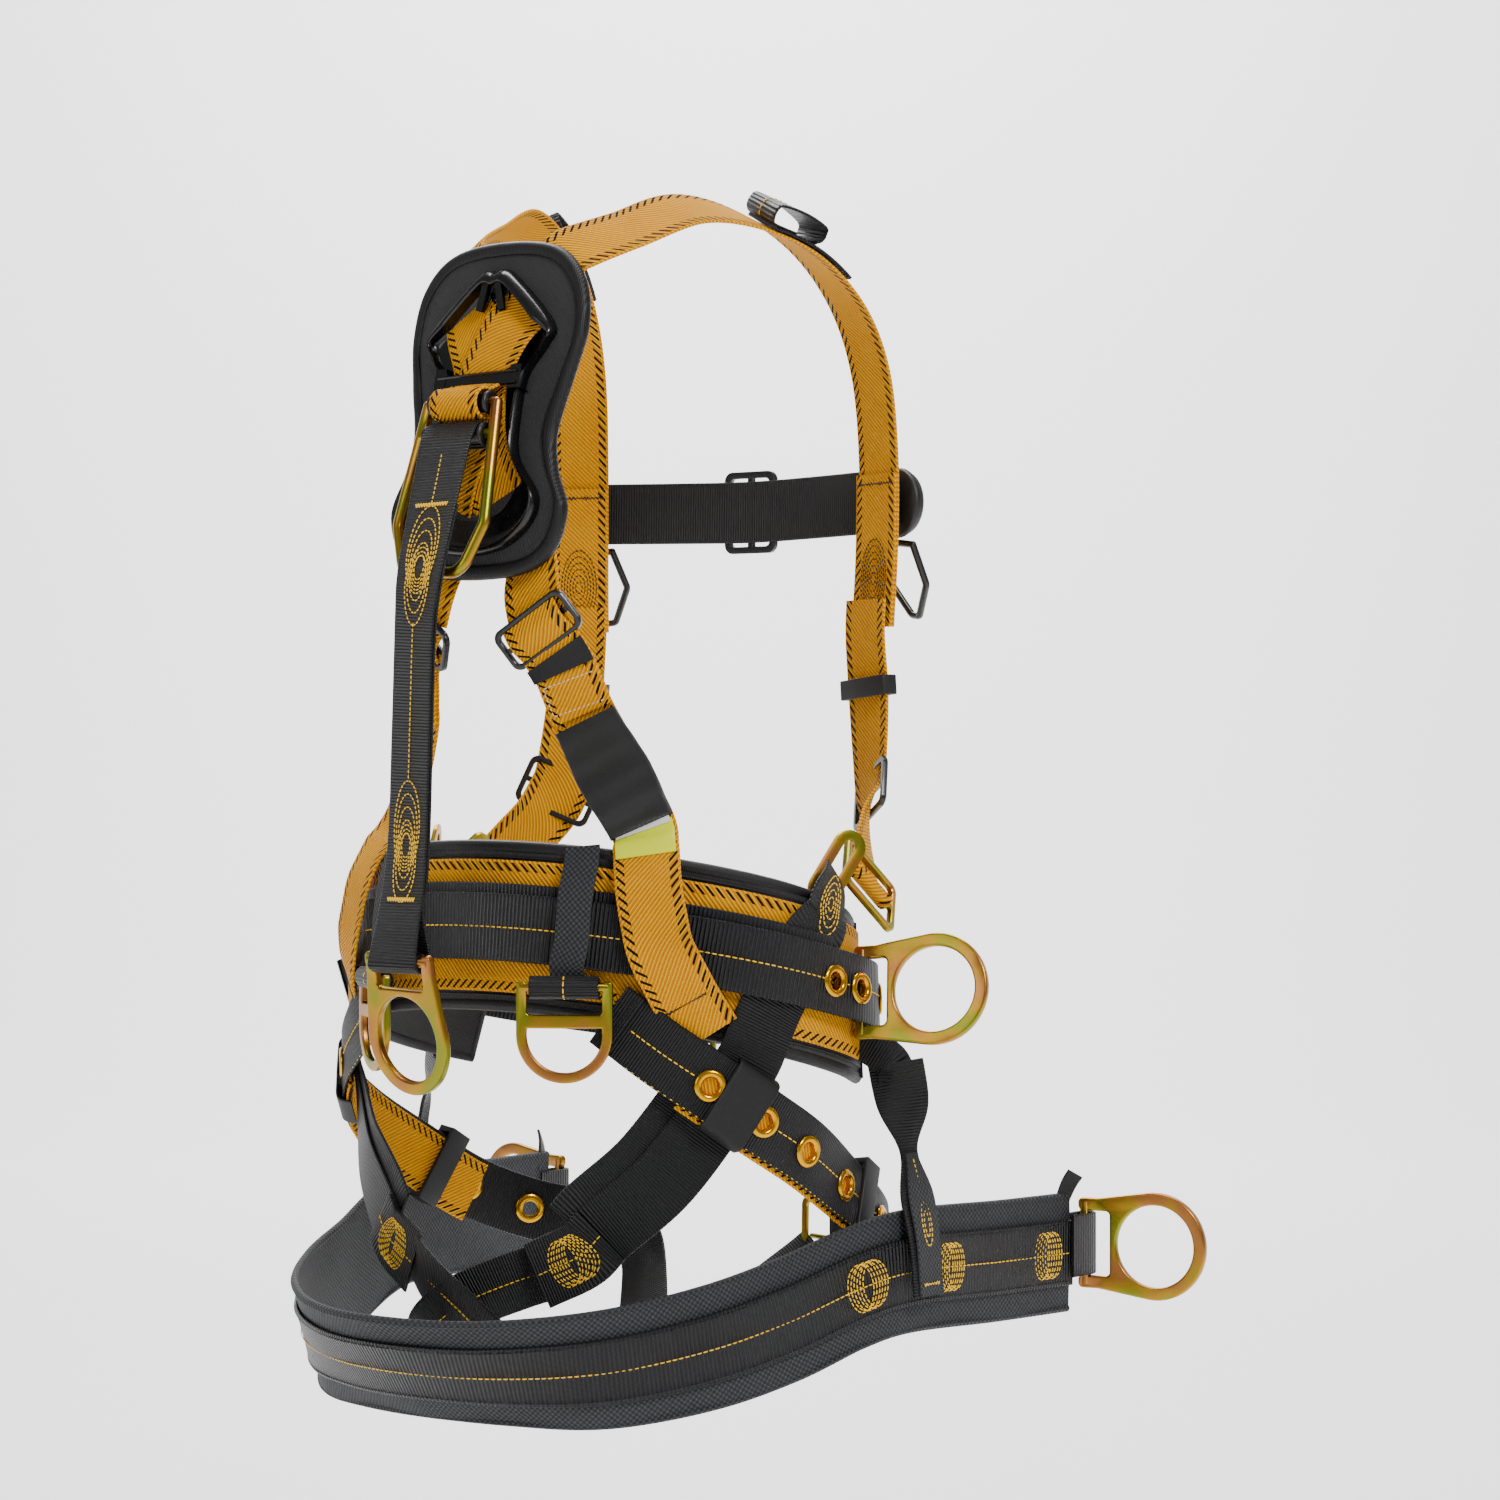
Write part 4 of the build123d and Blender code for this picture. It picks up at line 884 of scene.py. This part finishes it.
def leg_pieces(side, turn):
    line = LEG[side]
    holes = [line.near(point) for point in turn(LEG_STRAP[2:8])]
    strip(f"leg_strap_{side}", f"webbing_leg_{side}", line, WEBBING, BLACK, holes=holes)
    strip(f"leg_strap_{side}", f"webbing_leg_end_{side}", line, flat_section(WEB + 0.6, 2.0), BLACK, -2, 13,
          lift=2.0)
    rows = [[(u, -HEM_IN), (u, HEM_IN)] for u in (8, 11)]
    stitch(f"leg_strap_{side}", f"thread_leg_end_{side}", line, rows, 3.1, 3.4, paint=BLACK_THREAD)
    stops = [4.0, *holes, line.length + 4]
    paths = [straight(a + 12, b - 12) for a, b in zip(stops, stops[1:])]
    stitch(f"leg_strap_{side}", f"thread_leg_{side}", line, paths, ON_WEB, 4.4)
    edge = up_sign(line, 40)
    lower = [straight(26, line.length - 80, -edge * 21.6)]
    stitch(f"leg_strap_{side}", f"thread_leg_edge_{side}", line, lower, 0.6, 5.0, 0.6, 0.4)
    eyelets = [line.frame(u) for u in holes]
    place(lathe(f"grommets_leg_{side}", GROMMET, eyelets, BRASS), f"leg_grommets_{side}")
    middle = (holes[0] + holes[1]) / 2 + 2
    across, face = line.frame(middle)[2:]
    rows = []
    for v, h, way in ((-27, -7, (-1, 0)), (-25.5, -1, (-1, 0.4)), (-22, 3.2, (-0.5, 1)), (-10, 3.9, (0, 1)),
                      (10, 3.9, (0, 1)), (22, 3.2, (0.5, 1)), (25.5, -1, (1, 0.4)), (27, -7, (1, 0))):
        rows.append(tuple(line.at(middle, v, h)) + tuple(across * way[0] + face * way[1]))
    strip("leg_loops", f"webbing_leg_loop_{side}", Line(rows, FINE_ROW), flat_section(33, FINE_ROW),
          SMOOTH_BLACK, ripple=0.2)


def crotch_pieces():
    for (side, turn), lift in zip(SIDES, (0, 9)):
        route = []
        for k, point in enumerate(CROTCH_STRAP):
            face = unit(np.array(point[3:], float))
            spot = np.array(point[:3], float) + face * (lift if 0 < k < len(CROTCH_STRAP) - 1 else 0)
            route.append((*spot, *face))
        line = Line(turn(route))
        strip(f"crotch_strap_{side}", f"webbing_crotch_{side}", line, flat_section(40, 2.0, dome=0.4), BLACK,
              ripple=0.8)
        stitch(f"crotch_strap_{side}", f"thread_crotch_{side}", line, [straight(4, line.length - 4)], 1.5,
               4.4)


def saddle_pieces():
    line = Line(mirror_x(SADDLE)[::-1] + SADDLE[1:])
    step = 2.5
    band = flat_section(84, 4.6, 24)
    strip("saddle_band", "webbing_saddle_band", line, band, BASKET, ripple=0.6, step=step)
    for v in (-39.5, 39.5):
        name = "upper" if v * up_sign(line, 100) > 0 else "lower"
        strip("saddle_band", f"webbing_saddle_hem_{name}", line, flat_section(5.5, 6.0, 5), BASKET, shift=v,
              ripple=0.0, step=step)
    strip("saddle_webbing", "webbing_saddle_centre", line, flat_section(46, 2.4, 16), BELT_BLACK, lift=4.2,
          ripple=0.5, step=step)
    stitch("saddle_webbing", "thread_saddle_edges", line,
           [straight(4, line.length - 4, v) for v in (-20, 20)], 5.5, 4.0, paint=BLACK_THREAD)
    paths = [straight(4, line.length - 4)]
    for x in (-1, 1):
        for y, half, spread in ((-5, 11, 13), (-86, 8, 12), (-190, 8, 14)):
            spot = line.near((x * 216, y, -200) if y > -100 else (x * 237, y, -198))
            paths += oval_fan(spot, 0, half, 16.5, 6, spread)
    stitch("saddle_webbing", "thread_saddle", line, paths, 5.5, 4.2)
    fold = ((5.5, 26), (6.4, 12), (6.3, 2), (4.6, -4.6), (0, -6.7), (-4.6, -4.6), (-6.3, 2), (-6.4, 14),
            (-6.6, 30))
    for side, x in (("right", -1), ("left", 1)):
        loop = Line([(x * (243 + dx), -238 + dy, -194, x * dx, min(dy, 0), 0) for dx, dy in fold], FINE_ROW)
        strip("saddle_webbing", f"webbing_saddle_loop_{side}", loop, flat_section(44, 2.3), BELT_BLACK,
              ripple=0.0)
        flap = Line([(x * 238, -209, -172, x, 0.3, 0), (x * 240, -213, -160, x, 0.3, 0),
                     (x * 243, -216, -150, x, 0.5, 0), (x * 247, -218, -143, x, 0.6, 0)], FINE_ROW)
        strip("saddle_band", f"webbing_saddle_flap_{side}", flap, flat_section(13, 2.0, 8), TAPE, ripple=0.0)
        hanger = Line([(x * 187, -36, -40, x, 0.2, 0), (x * 198, -44, -48, x, 0.4, 0),
                       (x * 207, -51, -57, x, 0.6, 0), (x * 209, -52, -70, x * 0.7, 0.7, 0)], FINE_ROW)
        strip("waist_pad", f"webbing_link_hanger_{side}", hanger, flat_section(26, 2.2, 8), BLACK, ripple=0.3,
              hides=False)
        link_pieces(side)
        cad_copy(f"saddle_ring_{side}", ZINC)


def link_pieces(side):
    """A link strap hangs wide, is gathered to a neck, and widens to the saddle."""
    line = LINK[side]
    full = line.length

    def neck(u):
        return 1.0 - 0.62 * np.exp(-((u - 62) / 22) ** 2) - 0.1 * np.clip((u - 90) / 60, 0, 1)

    strip(f"link_strap_{side}", f"webbing_link_{side}", line, flat_section(38, 2.6, dome=0.6), BLACK, 0, full,
          narrow=neck, ripple=1.0)
    strip(f"link_strap_{side}", f"webbing_link_lap_{side}", line, flat_section(28, 2.0, 8), BASKET, 62, full,
          narrow=neck, lift=2.6, ripple=0.8)
    paths = [straight(66, full - 60), oval(full - 48, 0, 15, 5), oval(full - 48, 0, 9, 2.6),
             zigzag(full - 8, -9, 9, 1.4, 12)]
    stitch(f"link_strap_{side}", f"thread_link_{side}", line, paths, 3.8, 3.6)


def rear_pieces(side, turn):
    route = turn([torso(117, 92, 20), torso(117, 80, 24), torso(116, 60, 27), torso(115, 30, 27),
                  torso(114, 14, 27), torso(114, 6, 25)])
    strip("rear_straps", f"webbing_rear_strap_{side}", Line(route), flat_section(25, 1.8, 8, dome=0.4),
          BASKET)
    x = -1 if side == "right" else 1
    out = np.array((x * 0.5291, 0.8486, 0))
    up = np.array((0, 0, 1))
    rows = []
    for k in range(27):
        a = math.radians(70 - 27 * k)
        way = out * math.cos(a) + up * math.sin(a)
        spot = np.array((x * 84, 150, 0)) + way * (7.6 - 3.0 * k / 26)
        rows.append((*spot, *way))
    roll = Line(rows, FINE_ROW)
    strip("rear_rolls", f"webbing_rear_roll_{side}", roll, flat_section(46, 1.6), BLACK, ripple=0.0)
    stitch("rear_rolls", f"thread_rear_roll_{side}", roll, [straight(0, 26)], 0.9, 4.0)
    cad_copy(f"rear_ring_{side}", ZINC)


def waist_pieces():
    face = [(18, 4.5), (34, 4.5), (44, 4.0), (49, 2.9), (53, 1.8), (55, -1.6)]
    back = [(50, -4.3), (25, -4.5), (0, -4.5), (-25, -4.5), (-50, -4.3)]
    section = np.array([(-v, h) for v, h in face[::-1]] + [(0, 4.5)] + face + back, float)
    body = ribbon("pad_waist_body", PAD, section, PAD_CLOTH, ripple=0.5)
    place(body, "waist_pad")
    for name, v in (("first", -52.6), ("second", 52.6)):
        strip("waist_pad", f"pad_waist_tape_{name}", PAD, flat_section(9.6, 7.6, 6, dome=0.5), TAPE, -2,
              PAD.length + 2, shift=v, lift=-0.6, ripple=0.2)
        strip("waist_pad", f"pad_waist_cord_{name}", PAD, flat_section(2.4, 2.2, 3), TAPE, shift=v * 0.88,
              lift=3.4, ripple=0.0)
    for name, u in (("start", 1.0), ("end", PAD.length - 1.0)):
        rows = [(*PAD.at(u, v), *PAD.frame(u)[3]) for v in (-54, -30, 0, 30, 54)]
        strip("waist_pad", f"pad_waist_{name}_tape", Line(rows), flat_section(9, 10.4, 6), TAPE, ripple=0.0)
    for name, v in (("first", -21.6), ("second", 21.6)):
        strip("pad_facing", f"webbing_facing_{name}", PAD, WEBBING, ORANGE, 17, PAD.length - 17, lift=6.0,
              shift=v, ripple=0.3)


def belt_pieces():
    spots = [belt_at(angle) for angle in BELT_EYELETS]
    tail = BELT.length
    section = flat_section(WEB, 2.5, 16)
    strip("belt_webbing", "webbing_belt", BELT, section, BELT_BLACK, holes=spots, ripple=0.3)
    up = up_sign(BELT, belt_at(90))
    strip("belt_webbing", "webbing_belt_backing", BELT, flat_section(WEB + 2, 2.2), BELT_BLACK, belt_at(-22),
          belt_at(176), lift=-2.5, shift=up * 6.0, ripple=0.5)
    paths = [straight(belt_at(8), belt_at(176)), straight(tail - 120, tail - 4)]
    paths += [straight(a + 12, b - 12) for a, b in zip(spots, spots[1:] + [spots[-1] + 60])]
    stitch("belt_webbing", "thread_belt", BELT, paths, 1.35, 4.6)
    strip("belt_webbing", "webbing_belt_tip", BELT, flat_section(WEB + 0.6, 2.0), BELT_BLACK, tail - 16,
          tail + 2, lift=2.1)
    place(lathe("grommets_belt", GROMMET, [BELT.frame(u) for u in spots], BRASS), "belt_grommets")
    patch = waist_line(184, 204, 14.4)
    for side, turn in SIDES:
        rows = turn([(*spot, *face) for spot, face in zip(patch.place[::4], patch.face[::4])])
        strip("side_patches", f"webbing_side_patch_{side}", Line(rows), flat_section(40, 1.4), BLACK,
              ripple=0.0)


def front_pieces(side):
    line, strap = FRONT[side], SHOULDER[side]
    x = -1 if side == "right" else 1
    strip("front_straps", f"webbing_front_{side}", line, WEBBING, ORANGE, ripple=0.4)
    strip(f"shoulder_strap_{side}", f"webbing_front_fold_{side}", strap, flat_section(WEB + 0.5, 2.0), ORANGE,
          0, 108, lift=-2.3)
    paths = oval_nest(34, 0, 28, 14, 6)
    tack = [zigzag(101, -18, 18, 1.6, 24)]
    for name, height in (("outer", 1.3), ("inner", -3.5)):
        stitch(f"shoulder_strap_{side}", f"thread_front_ovals_{name}_{side}", strap, paths, height, 3.4,
               paint=BLACK_THREAD)
        stitch(f"shoulder_strap_{side}", f"thread_front_tack_{name}_{side}", strap, tack, height, 3.2, 0.98,
               0.5, paint=BLACK_THREAD)
    bar = line.frame(line.length)
    middle = np.array((x * 175, -62, 62)) + bar[3] * 4.4
    rows = []
    for k in range(15):
        a = 2.2 * math.pi * k / 14
        way = bar[3] * math.cos(a) + bar[1] * math.sin(a)
        rows.append((*(middle + way * (5.6 - 1.2 * k / 14)), *way))
    strip("front_straps", f"webbing_hip_roll_{side}", Line(rows, FINE_ROW), flat_section(40, 2.0), ORANGE,
          ripple=0.0)
    face = np.array((x * 0.31, -0.95, 0)) / math.hypot(0.31, 0.95)
    across = np.array((0.0, 0.0, 1.0))
    dome = [(0.05, -7), (23.5, -7), (24.8, -5.6), (24.8, -2.4), (23.4, -1.2), (23.2, 0.4), (22, 2.6),
            (18, 5.0), (11, 6.6), (0.05, 7)]
    spot = (np.array((x * 144, -152, 331)), across, np.cross(face, across), face)
    place(lathe(f"moulding_cover_{side}", dome, [spot], MATTE, segments=64), "front_covers")
    first, last = sorted((strap.near((x * 99, -42, 519)), strap.near((x * 122, -98, 484))))
    strip("shoulder_loops", f"webbing_shoulder_lap_{side}", strap, flat_section(WEB + 3, 2.4), BLACK, first,
          last, lift=3.2)
    u = strap.near((x * 105, -56, 513))
    rows = []
    for du, h in ((-17, 5.4), (-20.5, 9), (-20.5, 15), (-17, 19.2), (0, 20.2), (17, 19.2), (20.5, 15),
                  (20.5, 9), (17, 5.4), (0, 5.0)):
        spot, along, _, face = strap.frame(u + du, 0, h)
        way = along * np.sign(du) * (1 if abs(du) > 18 else 0.3) + face * (1 if h > 15 else -0.4)
        rows.append((*spot, *way))
    loop = Line(rows, FINE_ROW)
    strip("shoulder_loops", f"webbing_shoulder_loop_{side}", loop, flat_section(WEB, 2.0), BELT_BLACK,
          ripple=0.0)
    stitch("shoulder_loops", f"thread_shoulder_loop_{side}", loop, [straight(4, loop.length - 20)], 1.1, 4.2)


def chest_pieces():
    line = Line(CHEST_STRAP + mirror_x(CHEST_STRAP)[::-1][1:])
    strip("chest_strap", "webbing_chest", line, WEBBING, BLACK)
    stitch("chest_strap", "thread_chest", line, [straight(6, line.length - 6)], ON_WEB, 4.4)


# metal and plastic pieces with their edge radius
HARDWARE = (
    ("back_adjusters", BLACK_STEEL, 0.5), ("front_adjusters", BLACK_STEEL, 0.5),
    ("front_keepers", MATTE, 0.7), ("hip_connectors", ZINC, 0.7), ("hip_frames", ZINC, 0.6),
    ("leg_buckles", ZINC, 0.6), ("leg_prongs", ZINC, 0.5), ("belt_buckle", ZINC, 0.6),
    ("belt_prong", ZINC, 0.5), ("chest_buckle", BLACK_STEEL, 0.6),
)


def build():
    dorsal_pieces()
    dorsal_webbing()
    extension_pieces()
    label_pieces()
    crotch_pieces()
    saddle_pieces()
    waist_pieces()
    belt_pieces()
    chest_pieces()
    for side, turn in SIDES:
        back_pieces(side)
        hip_pieces(side)
        leg_pieces(side, turn)
        rear_pieces(side, turn)
        front_pieces(side)
        cad_copy(f"side_ring_{side}", ZINC)
        cad_copy(f"front_ring_{side}", BLACK_STEEL)
        cad_copy(f"leg_keeper_{side}", MATTE, 0.8)
    for node, paint, bevel in HARDWARE:
        cad_copy(node, paint, bevel)


build()

# ---- stage ----


AWAY = Vector((0.6018, -0.7986, 0.0))       # from the camera to the harness
SIDEWAYS = Vector((0.7986, 0.6018, 0.0))
FLOOR_Z = -0.62
SWEEP_START = 4.6
SWEEP_RADIUS = 1.8


def pale_floor():
    # smooth matt paint that gives off a little light of its own
    made = plain("pale_floor", "#F2F2F2", 0.7, 0.01, 0.01)
    shader = made.node_tree.nodes["Principled BSDF"]
    shader.inputs["Emission Color"].default_value = linear("#FFFFFF")
    shader.inputs["Emission Strength"].default_value = 0.5
    return made


def aim(data, spot, way):
    """A lamp or camera at a spot, looking along a direction."""
    made = bpy.data.objects.new(data.name, data)
    made.location = spot
    made.rotation_mode = "QUATERNION"
    made.rotation_quaternion = way.to_track_quat("-Z", "Y")
    bpy.context.scene.collection.objects.link(made)
    return made


def lamp(name, spot, target, size, power):
    light = bpy.data.lights.new(name, "AREA")
    light.size, light.energy = size, power
    aim(light, spot, Vector(target) - Vector(spot))


def floor():
    """A floor that sweeps up well behind the harness."""
    bends = [math.radians(a) for a in range(6, 91, 6)]
    profile = [(-16.0, 0.0), (SWEEP_START, 0.0)]
    profile += [(SWEEP_START + SWEEP_RADIUS * math.sin(a), SWEEP_RADIUS * (1 - math.cos(a))) for a in bends]
    profile += [(SWEEP_START + SWEEP_RADIUS, 7.0)]
    rows = [AWAY * far + Vector((0, 0, high + FLOOR_Z)) for far, high in profile]
    verts = [row + SIDEWAYS * wide for row in rows for wide in (-14, 14)]
    mesh = bpy.data.meshes.new("floor")
    mesh.from_pydata(verts, [], [(k, k + 1, k + 3, k + 2) for k in range(0, len(verts) - 2, 2)])
    mesh.materials.append(pale_floor())
    mesh.polygons.foreach_set("use_smooth", [True] * len(mesh.polygons))
    made = bpy.data.objects.new("floor", mesh)
    bpy.context.scene.collection.objects.link(made)


def stage():
    floor()
    world = bpy.data.worlds.new("studio")
    world.use_nodes = True
    world.node_tree.nodes["Background"].inputs["Color"].default_value = linear("#F4F4F6")
    world.node_tree.nodes["Background"].inputs["Strength"].default_value = 0.35
    bpy.context.scene.world = world
    lamp("key", (-2.4, 0.9, 2.0), (0, 0, 0.1), 0.9, 74)
    lamp("fill", (0.6, 2.8, 0.9), (0, 0, 0.1), 1.2, 16)
    lamp("rim", (1.4, -1.2, 1.9), (0, 0, 0.1), 0.9, 34)
    lamp("overhead", (0.4, -0.6, 3.2), (2.2, -2.9, 0.6), 2.0, 190)
    lamp("backdrop", (2.4, -3.2, 3.2), (4.2, -5.6, 0.6), 2.4, 220)
    camera = bpy.data.cameras.new("camera")
    camera.lens = 95.0
    bpy.context.scene.camera = aim(camera, (-1.746, 2.153, 0.156), AWAY)


stage()
